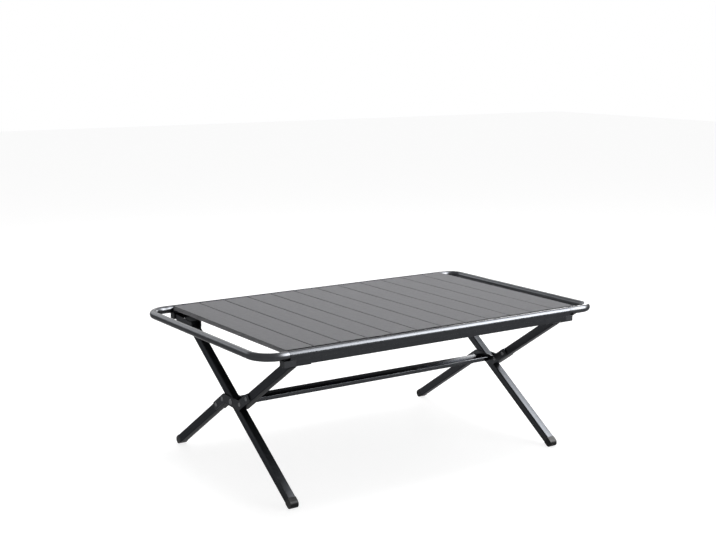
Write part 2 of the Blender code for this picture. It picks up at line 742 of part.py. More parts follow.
def build_foot(table, name, parent, matrix):
    """Add a foot whose seam lies at the matrix's place."""
    foot = table.piece(name, foot_mesh(name), "dark_plastic", matrix, parent)
    table.bevel(foot, FOOT_EDGE_RADIUS, 2)
    wide = LEG_SIZE - 2 * LEG_WALL - 2 * GAP
    height = FOOT_PLUG + TOUCH
    plug = prism("plug", [rounded_box(wide, wide, LEG_RADIUS - LEG_WALL + GAP, 2)], height)
    plug.transform(Matrix.Translation((0, 0, height / 2 - TOUCH)))
    table.combine(foot, plug, Matrix(), "UNION")


def foot_seam(offset, slope):
    """Distance down a leg from the pivot's level to the seam of its foot."""
    height = PIVOT_HEIGHT + offset * math.cos(slope) - LEG_HALF
    return height / math.sin(slope) - FOOT_HEAD


def build_front_legs(table):
    """The pair whose upper tubes hold the front rail: two half tubes joined by hub plates."""
    body = table.empty("front_legs_axis", PIVOT)
    seam = foot_seam(HUB_OFFSET, FRONT_SLOPE)
    for hand, leg_x in zip(SIDES, LEG_X):
        upper = leg_matrix(leg_x, FRONT_UP, FRONT_OUT, HUB_END_CUT, -HUB_OFFSET)
        rivets = ((HUB_RIVET_NEAR - HUB_END_CUT, RIVET_DIAMETER), (HUB_RIVET_FAR - HUB_END_CUT, RIVET_DIAMETER))
        pin = (FRONT_LEG_PIN - HUB_END_CUT, TOP_PIN_DIAMETER)
        length = FRONT_LEG_PIN + FRONT_LEG_PAST_PIN - HUB_END_CUT
        leg_tube(table, f"front_leg_upper_{hand}", body, upper, length, rivets + (pin,))
        lower = leg_matrix(leg_x, FRONT_UP, FRONT_OUT, -seam + GAP, HUB_OFFSET)
        length = seam - HUB_END_CUT - GAP
        low_rivets = ((seam - HUB_RIVET_NEAR - GAP, RIVET_DIAMETER), (seam - HUB_RIVET_FAR - GAP, RIVET_DIAMETER))
        leg_tube(table, f"front_leg_lower_{hand}", body, lower, length, low_rivets)
        foot = leg_matrix(leg_x, FRONT_UP, FRONT_OUT, -seam, HUB_OFFSET)
        build_foot(table, f"front_leg_foot_{hand}", body, foot)
        build_hub(table, body, hand, leg_x)
        top_pin = leg_matrix(leg_x, FRONT_UP, FRONT_OUT, FRONT_LEG_PIN, -HUB_OFFSET)
        build_pin(table, f"front_leg_top_pin_{hand}", body, top_pin.to_translation())


def build_pin(table, name, body, place):
    """A cross pin at the top of a leg."""
    pin = pin_mesh(name, TOP_PIN_DIAMETER, TOP_PIN_REACH)
    table.piece(name, pin, "steel", Matrix.Translation(place) @ ACROSS_LEG, body)


def build_hub(table, body, hand, leg_x):
    """Two Z-shaped plates that carry the half tubes past the pivot, with their rivets."""
    far = HUB_OFFSET + LEG_HALF
    near = HUB_OFFSET - LEG_HALF
    half = [
        (HUB_PLATE_REACH, -far, HUB_PLATE_RADIUS),
        (HUB_PLATE_REACH, -near, HUB_PLATE_RADIUS),
        (HUB_PLATE_WAIST, -near, HUB_PLATE_RADIUS),
        (-HUB_END_CUT, far, HUB_PLATE_RADIUS),
    ]
    outline = filleted(half + [(-x, -y, radius) for x, y, radius in half])
    places = [(0.0, 0.0, PIVOT_BOLT_DIAMETER)]
    for along in (HUB_RIVET_NEAR, HUB_RIVET_FAR):
        places.append((along, -HUB_OFFSET, RIVET_DIAMETER))
        places.append((-along, HUB_OFFSET, RIVET_DIAMETER))
    holes = [circle((x, y), size / 2 + PIN_CLEARANCE, ROUND_STEPS) for x, y, size in places]
    plate = prism("hub_plate", [outline] + holes, HUB_PLATE_THICKNESS)
    shift = HUB_PLATE_INNER + HUB_PLATE_THICKNESS / 2
    matrix = plate_matrix(leg_x, FRONT_UP, FRONT_OUT, 0.0)
    for face, side in (("left", 1), ("right", -1)):
        place = matrix @ Matrix.Translation((0, 0, side * shift))
        table.piece(f"hub_plate_{hand}_leg_{face}_face", plate.copy(), "satin_dark", place, body)
    rivet = pin_mesh("hub_rivet", RIVET_DIAMETER, HUB_PLATE_OUTER + GAP, RIVET_HEAD_DIAMETER, RIVET_HEAD_HEIGHT)
    for number, (x, y, size) in enumerate(places[1:], 1):
        place = matrix @ Matrix.Translation((x, y, 0))
        table.piece(f"hub_rivet_{hand}_{number}", rivet.copy(), "steel", place, body)


def build_back_legs(table):
    """The pair of whole tubes from the front feet up to the back brackets."""
    body = table.empty("back_legs_axis", PIVOT)
    seam = foot_seam(0.0, BACK_SLOPE)
    for hand, leg_x in zip(SIDES, LEG_X):
        matrix = leg_matrix(leg_x, BACK_UP, BACK_OUT, -seam + GAP, 0.0)
        holes = ((seam - GAP, BUSHING_DIAMETER), (seam - GAP + BACK_LEG_PIN, TOP_PIN_DIAMETER))
        length = seam - GAP + BACK_LEG_PIN + BACK_LEG_PAST_PIN
        leg_tube(table, f"back_leg_{hand}", body, matrix, length, holes)
        foot = leg_matrix(leg_x, BACK_UP, BACK_OUT, -seam, 0.0)
        build_foot(table, f"back_leg_foot_{hand}", body, foot)
        ring = prism("bushing", [
            circle((0, 0), BUSHING_DIAMETER / 2, ROUND_STEPS),
            circle((0, 0), PIVOT_BOLT_DIAMETER / 2 + PIN_CLEARANCE, ROUND_STEPS),
        ], LEG_SIZE)
        table.piece(f"pivot_bushing_{hand}", ring, "nylon", plate_matrix(leg_x, BACK_UP, BACK_OUT, 0.0), body)
        top_pin = leg_matrix(leg_x, BACK_UP, BACK_OUT, BACK_LEG_PIN, 0.0)
        build_pin(table, f"back_leg_top_pin_{hand}", body, top_pin.to_translation())


def build_stretcher(table):
    """The flat bar between the hubs, its end fittings and the two bolts that the legs turn on."""
    middle = Vector(((LEG_X[0] + LEG_X[1]) / 2, PIVOT.y, PIVOT.z))
    flat = axes(Vector((0, 1, 0)), Vector((0, 0, 1)), RIGHT, middle)
    hollow_wide = STRETCHER_WIDTH - 2 * STRETCHER_WALL
    hollow_high = STRETCHER_THICKNESS - 2 * STRETCHER_WALL
    bar = prism("stretcher", [
        rounded_box(STRETCHER_WIDTH, STRETCHER_THICKNESS, STRETCHER_RADIUS, 3),
        rounded_box(hollow_wide, hollow_high, STRETCHER_WALL / 3, 1),
    ], STRETCHER_LENGTH)
    table.piece("stretcher", bar, "satin_dark", flat)
    bolt_radius = PIVOT_BOLT_DIAMETER / 2
    plug_outline = rounded_box(hollow_wide - 2 * GAP, hollow_high - 2 * GAP, STRETCHER_WALL / 3, 1)
    for hand, leg_x, outward in zip(SIDES, LEG_X, (-1, 1)):
        start = leg_x - outward * STRETCHER_START
        turn = axes(Vector((0, -outward, 0)), Vector((0, 0, 1)), Vector((-outward, 0, 0)))
        turn.translation = Vector((start, PIVOT.y, PIVOT.z))
        plug = prism("stretcher_end", [plug_outline], STRETCHER_PLUG)
        plug.transform(Matrix.Translation((0, 0, STRETCHER_PLUG / 2)))
        end = table.piece(f"stretcher_end_{hand}", plug, "cast_grey", turn)
        spacer = turned("spacer", [
            (0.0, TOUCH),
            (SPACER_DIAMETER / 2 - TOUCH, TOUCH),
            (SPACER_DIAMETER / 2 - TOUCH, -GAP),
            (SPACER_DIAMETER / 2, -GAP),
            (SPACER_DIAMETER / 2, -SPACER_THICKNESS),
            (0.0, -SPACER_THICKNESS),
        ], ROUND_STEPS + 4)
        table.combine(end, spacer, Matrix(), "UNION")
        hole = pin_mesh("bolt_hole", PIVOT_BOLT_DIAMETER + 2 * PIN_CLEARANCE, PIVOT_BOLT_GRIP + TOUCH)
        table.combine(end, hole, Matrix())
        seat = STRETCHER_START + HUB_PLATE_OUTER + GAP
        dome = quarter_dome(PIVOT_HEAD_DIAMETER / 2, PIVOT_HEAD_HEIGHT)
        shank = [(0.0, PIVOT_BOLT_GRIP), (bolt_radius, PIVOT_BOLT_GRIP), (bolt_radius, -seat)]
        head = [(radius, -seat - height) for radius, height in reversed(dome)]
        bolt = turned("pivot_bolt", shank + head, ROUND_STEPS + 4)
        table.piece(f"pivot_bolt_{hand}", bolt, "steel", turn)


def build_table():
    """Build the whole table."""
    clear_scene()
    table = Table()
    top = table.empty("tabletop", (0.0, 0.0, DECK_HEIGHT))
    build_slats(table)
    build_rails(table, top)
    build_brackets(table, top)
    build_loop(table, "hang_loop", DECK_LEFT, -1, HANG_LOOP_REACH, HANG_LOOP_RADIUS)
    end_body = build_loop(table, "end_loop", RAIL_RIGHT, 1, END_LOOP_REACH, END_LOOP_RADIUS)
    build_collars(table, end_body)
    build_front_legs(table)
    build_back_legs(table)
    build_stretcher(table)


build_table()
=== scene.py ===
"""Looks of a folding camp table: finishes, fine surfaces, studio and camera.

Everything is in metres in the table's own frame: +X along the rails, +Y from the front rail to
the back rail, +Z up, with the origin on the ground under the middle of the table.
"""

import json
import logging
import math
from dataclasses import dataclass
from enum import Enum
from typing import Any, Iterable, Sequence

import bmesh
import bpy
from mathutils import Matrix, Vector

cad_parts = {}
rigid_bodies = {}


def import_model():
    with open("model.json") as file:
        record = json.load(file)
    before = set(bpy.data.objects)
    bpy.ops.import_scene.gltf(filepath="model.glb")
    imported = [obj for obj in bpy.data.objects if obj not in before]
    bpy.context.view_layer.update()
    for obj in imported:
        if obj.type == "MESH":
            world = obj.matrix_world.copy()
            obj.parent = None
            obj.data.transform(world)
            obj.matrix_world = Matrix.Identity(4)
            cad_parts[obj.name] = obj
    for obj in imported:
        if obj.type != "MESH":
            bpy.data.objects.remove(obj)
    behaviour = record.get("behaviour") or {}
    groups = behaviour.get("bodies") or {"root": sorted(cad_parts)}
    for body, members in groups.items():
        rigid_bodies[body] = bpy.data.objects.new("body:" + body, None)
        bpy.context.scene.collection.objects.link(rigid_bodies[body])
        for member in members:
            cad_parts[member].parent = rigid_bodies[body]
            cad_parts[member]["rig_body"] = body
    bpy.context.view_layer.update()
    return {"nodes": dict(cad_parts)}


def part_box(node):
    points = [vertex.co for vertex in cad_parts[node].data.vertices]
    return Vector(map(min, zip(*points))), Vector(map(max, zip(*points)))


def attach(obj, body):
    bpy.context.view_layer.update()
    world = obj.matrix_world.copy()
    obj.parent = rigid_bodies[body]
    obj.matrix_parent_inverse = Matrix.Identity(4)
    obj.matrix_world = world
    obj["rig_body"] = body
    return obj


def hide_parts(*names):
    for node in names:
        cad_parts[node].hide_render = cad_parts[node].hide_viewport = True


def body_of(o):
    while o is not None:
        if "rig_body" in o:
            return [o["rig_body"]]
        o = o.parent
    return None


LOG = logging.getLogger("camp_table")
MM = 0.001

# Where the product of two noises starts and ends its fade from tone to colour
RAMP_LOW = 0.12
RAMP_HIGH = 0.42

# Octaves of the noises: long lines, soft clouds, moulded grain and scuffs
LINE_DETAIL = 3.0
LINE_ROUGHNESS = 0.6
CLOUD_DETAIL = 4.0
GRAIN_DETAIL = 2.0
SCUFF_DETAIL = 5.0

# Forms: weld distance, largest share of an edge that a fillet takes, and the angles that
# count as sharp for shading and for rounding
WELD = 0.002 * MM
ON_AXIS = 0.0001 * MM
FILLET_SHARE = 0.49
SHARP_ANGLE = math.radians(32.0)
BEVEL_ANGLE = math.radians(40.0)
BEVEL_STEPS = 3

X_AXIS = Vector((1.0, 0.0, 0.0))
Y_AXIS = Vector((0.0, 1.0, 0.0))
Z_AXIS = Vector((0.0, 0.0, 1.0))

Point = tuple[float, float]
Ring = list[Point]
Triple = tuple[float, float, float]
Station = tuple[Vector, Vector, float]


class Hand(Enum):
    """The two ends of the table, seen from the front."""

    LEFT = "left"
    RIGHT = "right"


class Edge(Enum):
    """The two long sides of the table."""

    FRONT = "front"
    BACK = "back"


def linear(hex_colour: str) -> tuple[float, float, float, float]:
    """Turn an sRGB hex colour into a linear one.

    Args:
        hex_colour: Six hex digits with a leading #.

    Returns:
        Linear red, green and blue, and an alpha of 1.
    """
    parts = []
    for start in (1, 3, 5):
        value = int(hex_colour[start:start + 2], 16) / 255.0
        parts.append(value / 12.92 if value <= 0.04045 else ((value + 0.055) / 1.055) ** 2.4)
    return (parts[0], parts[1], parts[2], 1.0)


def add_node(
    tree: bpy.types.NodeTree,
    kind: str,
    settings: dict[str, Any] | None = None,
    links: dict[Any, bpy.types.NodeSocket] | None = None,
) -> bpy.types.Node:
    """Add a node with its settings and its incoming links.

    Args:
        tree: The material's node tree.
        kind: The node's type name.
        settings: Attributes, or default values of inputs, by name.
        links: Output sockets that feed the node's inputs, by the input's name or number.

    Returns:
        The new node.
    """
    node = tree.nodes.new(kind)
    for name, value in (settings or {}).items():
        if isinstance(name, str) and hasattr(node, name):
            setattr(node, name, value)
        else:
            node.inputs[name].default_value = value
    for name, socket in (links or {}).items():
        tree.links.new(socket, node.inputs[name])
    return node


def drive_shader(
    tree: bpy.types.NodeTree,
    colour: tuple[bpy.types.NodeSocket, tuple[float, str], tuple[float, str]],
    roughness: tuple[bpy.types.NodeSocket, float, float],
    height: tuple[bpy.types.NodeSocket, float, float],
) -> None:
    """Let a finish's patterns drive its colour, its roughness and its relief.

    Args:
        tree: The material's node tree.
        colour: A pattern, then the level and the hex colour of each end of its fade.
        roughness: A pattern, the middle roughness and its spread to either side.
        height: A pattern, the relief's strength and its height in millimetres.
    """
    shader = tree.nodes["Principled BSDF"]
    pattern, *ends = colour
    tint = add_node(tree, "ShaderNodeValToRGB", links={"Fac": pattern})
    for element, (level, hex_colour) in zip(tint.color_ramp.elements, ends):
        element.position = level
        element.color = linear(hex_colour)
    pattern, middle, spread = roughness
    rough = add_node(tree, "ShaderNodeMapRange", {"To Min": middle - spread, "To Max": middle + spread},
                     {"Value": pattern})
    pattern, strength, relief_mm = height
    bump = add_node(tree, "ShaderNodeBump", {"Strength": strength, "Distance": relief_mm * MM},
                    {"Height": pattern})
    tree.links.new(tint.outputs["Color"], shader.inputs["Base Color"])
    tree.links.new(rough.outputs["Result"], shader.inputs["Roughness"])
    tree.links.new(bump.outputs["Normal"], shader.inputs["Normal"])


@dataclass(frozen=True)
class GrainedMetal:
    """A metal skin, bare or coated, with fine lines or grain in its colour, roughness and height.

    The pattern runs from tone to colour. line_mm is the size of its lines along each local axis, and
    cloud_mm that of the cloudiness over them.
    """

    name: str
    colour: str
    tone: str
    roughness: float
    spread: float
    edge_tint: float
    line_mm: Triple
    bump_mm: float
    cloud_mm: float
    metallic: float = 1.0
    coat_gloss: float = 0.5
    bump: float = 0.6

    def material(self) -> bpy.types.Material:
        """Make the finish as a material.

        Returns:
            The new material, with its pattern in object coordinates.
        """
        material = bpy.data.materials.new(self.name)
        material.use_nodes = True
        tree = material.node_tree
        shader = tree.nodes["Principled BSDF"]
        shader.inputs["Metallic"].default_value = self.metallic
        edge = self.edge_tint
        shader.inputs["Specular Tint"].default_value = (edge, edge, edge, 1.0)
        shader.inputs["Specular IOR Level"].default_value = self.coat_gloss
        place = add_node(tree, "ShaderNodeTexCoord")
        scale = tuple(1.0 / (size * MM) for size in self.line_mm)
        stretched = add_node(tree, "ShaderNodeMapping", {"Scale": scale},
                             {"Vector": place.outputs["Object"]})
        lines = add_node(tree, "ShaderNodeTexNoise", {
            "Scale": 1.0,
            "Detail": LINE_DETAIL,
            "Roughness": LINE_ROUGHNESS,
        }, {"Vector": stretched.outputs["Vector"]})
        clouds = add_node(tree, "ShaderNodeTexNoise", {
            "Scale": 1.0 / (self.cloud_mm * MM),
            "Detail": CLOUD_DETAIL,
        }, {"Vector": place.outputs["Object"]})
        blend = add_node(tree, "ShaderNodeMath", {"operation": "MULTIPLY"},
                         {0: lines.outputs["Fac"], 1: clouds.outputs["Fac"]})
        drive_shader(
            tree,
            (blend.outputs["Value"], (RAMP_LOW, self.tone), (RAMP_HIGH, self.colour)),
            (clouds.outputs["Fac"], self.roughness, self.spread),
            (lines.outputs["Fac"], self.bump, self.bump_mm),
        )
        return material


# Extruded aluminium, deep grey anodised: fine die lines along the bar and a soft, wide highlight.
# The nearly black skin mirrors about a thirtieth of what it faces, and its edges brighten only half
# as much as bare metal's.
ANODISED_ALONG_Z = GrainedMetal(
    "dark_anodised_aluminium_bar", colour="#2E2F31", tone="#28292B",
    roughness=0.30, spread=0.03, edge_tint=0.45,
    line_mm=(0.8, 0.8, 60.0), bump_mm=0.008, cloud_mm=9.0)
# The same skin on the rails' beads, which are drawn in the table's own axes: die lines along X, and
# one long thin highlight.
ANODISED_ALONG_X = GrainedMetal(
    "dark_anodised_aluminium_rail", colour="#333436", tone="#2C2D2F",
    roughness=0.28, spread=0.03, edge_tint=0.5,
    line_mm=(60.0, 0.8, 0.8), bump_mm=0.008, cloud_mm=9.0)
# The flat bar between the hubs, in the dark anodised skin with a smoother finish. Its weak edge tint is
# painted shade:
# it keeps the bar black where it is seen at a low angle, standing in for the shade under the table top.
ANODISED_FLAT_PAINTED_SHADE = GrainedMetal(
    "dark_anodised_aluminium_flat_bar_painted_shade", colour="#333436", tone="#2E2F31",
    roughness=0.18, spread=0.02, edge_tint=0.33,
    line_mm=(0.8, 0.8, 60.0), bump_mm=0.008, cloud_mm=9.0)
# Bent loops of the same tube: the bending leaves a slightly cloudier skin with no clear direction.
ANODISED_BENT = GrainedMetal(
    "dark_anodised_aluminium_bent_tube", colour="#3A3B3D", tone="#333436",
    roughness=0.30, spread=0.04, edge_tint=0.55,
    line_mm=(1.6, 1.6, 1.6), bump_mm=0.008, cloud_mm=14.0)
# Pressed hub plates of the same metal, tumbled before anodising, with a finer, even grain.
ANODISED_PLATE = GrainedMetal(
    "dark_anodised_aluminium_plate", colour="#393A3C", tone="#313234",
    roughness=0.34, spread=0.04, edge_tint=0.45,
    line_mm=(1.5, 1.5, 1.5), bump_mm=0.012, cloud_mm=6.0)
# Slats: aluminium extrusions with a matt grey powder coat that still shows faint long lines.
POWDER_COAT = GrainedMetal(
    "grey_powder_coated_slat", colour="#818183", tone="#7A7A7C",
    roughness=0.65, spread=0.05, edge_tint=1.0, metallic=0.0, coat_gloss=0.0,
    line_mm=(1.6, 1.6, 70.0), bump_mm=0.020, cloud_mm=14.0)
# Brackets: cast aluminium, painted dark, with the fine sandy surface of the mould.
PAINTED_CASTING = GrainedMetal(
    "painted_cast_aluminium", colour="#333436", tone="#2B2C2E",
    roughness=0.42, spread=0.06, edge_tint=0.5, metallic=0.9, coat_gloss=0.3,
    line_mm=(0.9, 0.9, 0.9), bump_mm=0.050, cloud_mm=4.0)
# Rivets, pins and bolts: zinc-plated steel, a lighter and slightly cloudy metal.
ZINC_STEEL = GrainedMetal(
    "zinc_plated_steel", colour="#5C5D5F", tone="#4E4F51",
    roughness=0.34, spread=0.06, edge_tint=0.6,
    line_mm=(0.7, 0.7, 0.7), bump_mm=0.006, cloud_mm=3.0)


@dataclass(frozen=True)
class MouldedPlastic:
    """Moulded plastic with a spark-eroded grain."""

    name: str
    colour: str
    worn: str
    roughness: float
    grain_mm: float
    spread: float = 0.06
    scuff_mm: float = 7.0
    scuff_low: float = 0.45
    scuff_high: float = 0.75
    bump_mm: float = 0.03
    bump: float = 0.5
    gloss: float = 0.08

    def material(self) -> bpy.types.Material:
        """Make the finish as a material.

        Returns:
            The new material, with its grain in object coordinates.
        """
        material = bpy.data.materials.new(self.name)
        material.use_nodes = True
        tree = material.node_tree
        shader = tree.nodes["Principled BSDF"]
        place = add_node(tree, "ShaderNodeTexCoord")
        grain = add_node(tree, "ShaderNodeTexNoise", {
            "Scale": 1.0 / (self.grain_mm * MM),
            "Detail": GRAIN_DETAIL,
        }, {"Vector": place.outputs["Object"]})
        scuff = add_node(tree, "ShaderNodeTexNoise", {
            "Scale": 1.0 / (self.scuff_mm * MM),
            "Detail": SCUFF_DETAIL,
        }, {"Vector": place.outputs["Object"]})
        drive_shader(
            tree,
            (scuff.outputs["Fac"], (self.scuff_low, self.colour), (self.scuff_high, self.worn)),
            (scuff.outputs["Fac"], self.roughness, self.spread),
            (grain.outputs["Fac"], self.bump, self.bump_mm),
        )
        shader.inputs["Specular IOR Level"].default_value = self.gloss
        return material


# Feet and collars: polypropylene, nearly black, with a fine eroded grain and lighter scuffs.
BLACK_POLYPROPYLENE = MouldedPlastic(
    "black_polypropylene", colour="#101012", worn="#1B1B1D", roughness=0.42, grain_mm=0.8)
# Bushings in the legs: natural nylon, grey from dirt.
GREY_NYLON = MouldedPlastic(
    "grey_nylon", colour="#58585A", worn="#666668", roughness=0.45, grain_mm=0.8)


class Finishes:
    """Makes each finish once and hands it out."""

    def __init__(self) -> None:
        """Start with no material made."""
        self._made: dict[str, bpy.types.Material] = {}

    def get(self, finish: GrainedMetal | MouldedPlastic) -> bpy.types.Material:
        """Hand out the material of a finish, made on its first use.

        Args:
            finish: The finish.

        Returns:
            Its one material.
        """
        if finish.name not in self._made:
            self._made[finish.name] = finish.material()
        return self._made[finish.name]

    def dress(self, nodes: Iterable[bpy.types.Object], finish: GrainedMetal | MouldedPlastic) -> None:
        """Give carried-over nodes a finish.

        Args:
            nodes: The frame's node objects.
            finish: The finish for all their slots.
        """
        for node in nodes:
            if not node.material_slots:
                node.data.materials.append(None)
            for slot in node.material_slots:
                slot.material = self.get(finish)


def arc(centre: Point, radius: float, start: float, end: float, steps: int) -> Ring:
    """Points on an arc, both ends included.

    Args:
        centre: The arc's centre.
        radius: The arc's radius.
        start: First angle in degrees.
        end: Last angle in degrees.
        steps: Number of steps between them.

    Returns:
        The points in order.
    """
    points = []
    for step in range(steps + 1):
        angle = math.radians(start + (end - start) * step / steps)
        points.append((centre[0] + radius * math.cos(angle), centre[1] + radius * math.sin(angle)))
    return points


def filleted(corners: Sequence[Triple], steps: int) -> Ring:
    """Round the corners of an outline.

    Args:
        corners: Each corner as x, y and radius.
        steps: Steps in each rounding.

    Returns:
        The rounded outline.
    """
    points: Ring = []
    count = len(corners)
    for index, (x, y, radius) in enumerate(corners):
        here = Vector((x, y))
        if radius <= 0.0:
            points.append((x, y))
            continue
        before = Vector(corners[index - 1][:2]) - here
        after = Vector(corners[(index + 1) % count][:2]) - here
        half = before.angle(after) / 2
        reach = min(radius / math.tan(half), FILLET_SHARE * before.length, FILLET_SHARE * after.length)
        swing = reach * math.tan(half)
        start = here + before.normalized() * reach
        stop = here + after.normalized() * reach
        middle = here + (before.normalized() + after.normalized()).normalized() * reach / math.cos(half)
        first = (start - middle).normalized()
        last = (stop - middle).normalized()
        for step in range(steps + 1):
            point = middle + first.slerp(last, step / steps) * swing
            points.append((point.x, point.y))
    return points


def rounded_box(width: float, height: float, radius: float, steps: int) -> Ring:
    """Outline of a box with rounded corners about the local origin."""
    signs = ((-1, -1), (1, -1), (1, 1), (-1, 1))
    return filleted([(x * width / 2, y * height / 2, radius) for x, y in signs], steps)


def axes(x_axis: Vector, y_axis: Vector, z_axis: Vector, place: Vector | None = None) -> Matrix:
    """Matrix whose columns are three axes, at a place.

    Args:
        x_axis: Where local X points.
        y_axis: Where local Y points.
        z_axis: Where local Z points.
        place: Where the local origin is, or None for the frame's own.

    Returns:
        The matrix from local to the frame.
    """
    matrix = Matrix((x_axis, y_axis, z_axis)).transposed().to_4x4()
    if place is not None:
        matrix.translation = place
    return matrix


class Shapes:
    """Makes fine meshes from outlines, profiles and paths."""

    @staticmethod
    def _from_curve(name: str, curve: bpy.types.Curve) -> bpy.types.Mesh:
        """Turn a curve into a mesh with welded caps.

        Args:
            name: Name of the mesh.
            curve: The curve, which is used up.

        Returns:
            The closed mesh.
        """
        guide = bpy.data.objects.new(name, curve)
        bpy.context.scene.collection.objects.link(guide)
        graph = bpy.context.evaluated_depsgraph_get()
        graph.update()
        mesh = bpy.data.meshes.new_from_object(guide.evaluated_get(graph))
        edit = bmesh.new()
        edit.from_mesh(mesh)
        bmesh.ops.remove_doubles(edit, verts=edit.verts, dist=WELD)
        bmesh.ops.recalc_face_normals(edit, faces=edit.faces)
        edit.to_mesh(mesh)
        edit.free()
        mesh.name = name
        mesh.materials.clear()
        bpy.data.objects.remove(guide, do_unlink=True)
        bpy.data.curves.remove(curve)
        return mesh

    @staticmethod
    def _from_edit(name: str, edit: bmesh.types.BMesh) -> bpy.types.Mesh:
        """Turn an edited surface into a mesh whose faces all look outward.

        Args:
            name: Name of the mesh.
            edit: The surface, which is used up.

        Returns:
            The closed mesh.
        """
        bmesh.ops.recalc_face_normals(edit, faces=edit.faces)
        mesh = bpy.data.meshes.new(name)
        edit.to_mesh(mesh)
        edit.free()
        return mesh

    @staticmethod
    def prism(name: str, rings: Sequence[Ring], depth: float) -> bpy.types.Mesh:
        """Extrude an outline, with holes, about local Z.

        Args:
            name: Name of the mesh.
            rings: The outside first, then the holes.
            depth: Full length along local Z.

        Returns:
            The closed mesh.
        """
        curve = bpy.data.curves.new(name, "CURVE")
        curve.dimensions = "2D"
        curve.fill_mode = "BOTH"
        curve.extrude = depth / 2
        for ring in rings:
            spline = curve.splines.new("POLY")
            spline.points.add(len(ring) - 1)
            for point, (x, y) in zip(spline.points, ring):
                point.co = (x, y, 0.0, 1.0)
            spline.use_cyclic_u = True
        return Shapes._from_curve(name, curve)

    @staticmethod
    def turned(name: str, profile: Sequence[Point], steps: int = 40) -> bpy.types.Mesh:
        """Turn a profile about local Z.

        Args:
            name: Name of the mesh.
            profile: Radius and height of each point, top to bottom.
            steps: Steps round the axis.

        Returns:
            The closed mesh.
        """
        edit = bmesh.new()
        rows: list[list[bmesh.types.BMVert]] = []
        for radius, height in profile:
            if radius < ON_AXIS:
                rows.append([edit.verts.new((0.0, 0.0, height))])
                continue
            row = []
            for step in range(steps):
                angle = math.tau * step / steps
                row.append(edit.verts.new((radius * math.cos(angle), radius * math.sin(angle), height)))
            rows.append(row)
        for upper, lower in zip(rows, rows[1:]):
            for step in range(steps):
                after = (step + 1) % steps
                ring = [upper[step % len(upper)], lower[step % len(lower)],
                        lower[after % len(lower)], upper[after % len(upper)]]
                edit.faces.new(list(dict.fromkeys(ring)))
        return Shapes._from_edit(name, edit)

    @staticmethod
    def pipe(name: str, stations: Sequence[Station], steps: int = 48) -> bpy.types.Mesh:
        """Make a hollow pipe whose path lies flat, from stations over its outside and back inside.

        Args:
            name: Name of the mesh.
            stations: Centre, direction and radius of each ring.
            steps: Steps round each ring.

        Returns:
            The closed mesh.
        """
        edit = bmesh.new()
        rings = []
        for centre, way, radius in stations:
            across = way.cross(Z_AXIS).normalized()
            ring = []
            for step in range(steps):
                angle = math.tau * step / steps
                spoke = across * math.cos(angle) + Z_AXIS * math.sin(angle)
                ring.append(edit.verts.new(centre + spoke * radius))
            rings.append(ring)
        for first, second in zip(rings, rings[1:] + rings[:1]):
            for step in range(steps):
                after = (step + 1) % steps
                edit.faces.new([first[step], first[after], second[after], second[step]])
        return Shapes._from_edit(name, edit)

    @staticmethod
    def tube_ends(length: float, radius: float, wall: float, soft: float) -> Ring:
        """Run over a straight tube's outside and back inside, with softened ends.

        Args:
            length: Length of the tube.
            radius: Outer radius.
            wall: Thickness of the wall.
            soft: Width of the rounding at each mouth's edges.

        Returns:
            Distance and radius of each ring.
        """
        return [
            (0.0, radius - soft), (soft, radius), (length - soft, radius), (length, radius - soft),
            (length, radius - wall + soft), (length - soft, radius - wall),
            (soft, radius - wall), (0.0, radius - wall + soft),
        ]

    @staticmethod
    def dome(radius: float, height: float, steps: int = 8) -> Ring:
        """Profile over a low dome, from its crown to its flat foot.

        Args:
            radius: Radius of the foot.
            height: Height of the crown.
            steps: Steps from crown to foot.

        Returns:
            Radius and height of each point.
        """
        points = [(0.0, height)]
        for step in range(1, steps + 1):
            angle = math.pi / 2 * step / steps
            points.append((radius * math.sin(angle), height * math.cos(angle)))
        return points


@dataclass
class Workshop:
    """What every sub-assembly needs to add a finished piece."""

    finishes: Finishes
    nodes: dict[str, bpy.types.Object]

    def dress(self, finish: GrainedMetal | MouldedPlastic, *names: str) -> None:
        """Give carried-over nodes a finish, by name."""
        self.finishes.dress([self.nodes[name] for name in names], finish)
        LOG.info("dressed %s in %s", ", ".join(names), finish.name)

    def add(
        self,
        name: str,
        mesh: bpy.types.Mesh,
        finish: GrainedMetal | MouldedPlastic,
        body: str,
        slot: str,
        stands_for: Sequence[str] = (),
        matrix: Matrix | None = None,
        soften: float = 0.0,
    ) -> bpy.types.Object:
        """Add a piece that rides on a body.

        Args:
            name: The piece's name.
            mesh: Its mesh.
            finish: Its finish.
            body: The body that it rides on.
            slot: The record's material slot; it is not used.
            stands_for: Nodes that it takes the place of.
            matrix: Its place at rest.
            soften: Width of the rounding along its sharp edges.

        Returns:
            The new piece.
        """
        piece = bpy.data.objects.new(name, mesh)
        bpy.context.scene.collection.objects.link(piece)
        piece.matrix_world = matrix or Matrix()
        mesh.materials.append(self.finishes.get(finish))
        mesh.shade_smooth()
        mesh.set_sharp_from_angle(angle=SHARP_ANGLE)
        if soften:
            rounding = piece.modifiers.new("edges", "BEVEL")
            rounding.width = soften
            rounding.segments = BEVEL_STEPS
            rounding.limit_method = "ANGLE"
            rounding.angle_limit = BEVEL_ANGLE
            rounding.harden_normals = True
        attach(piece, body)
        if stands_for:
            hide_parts(*stands_for)
        LOG.info("piece %s on %s", name, body)
        return piece


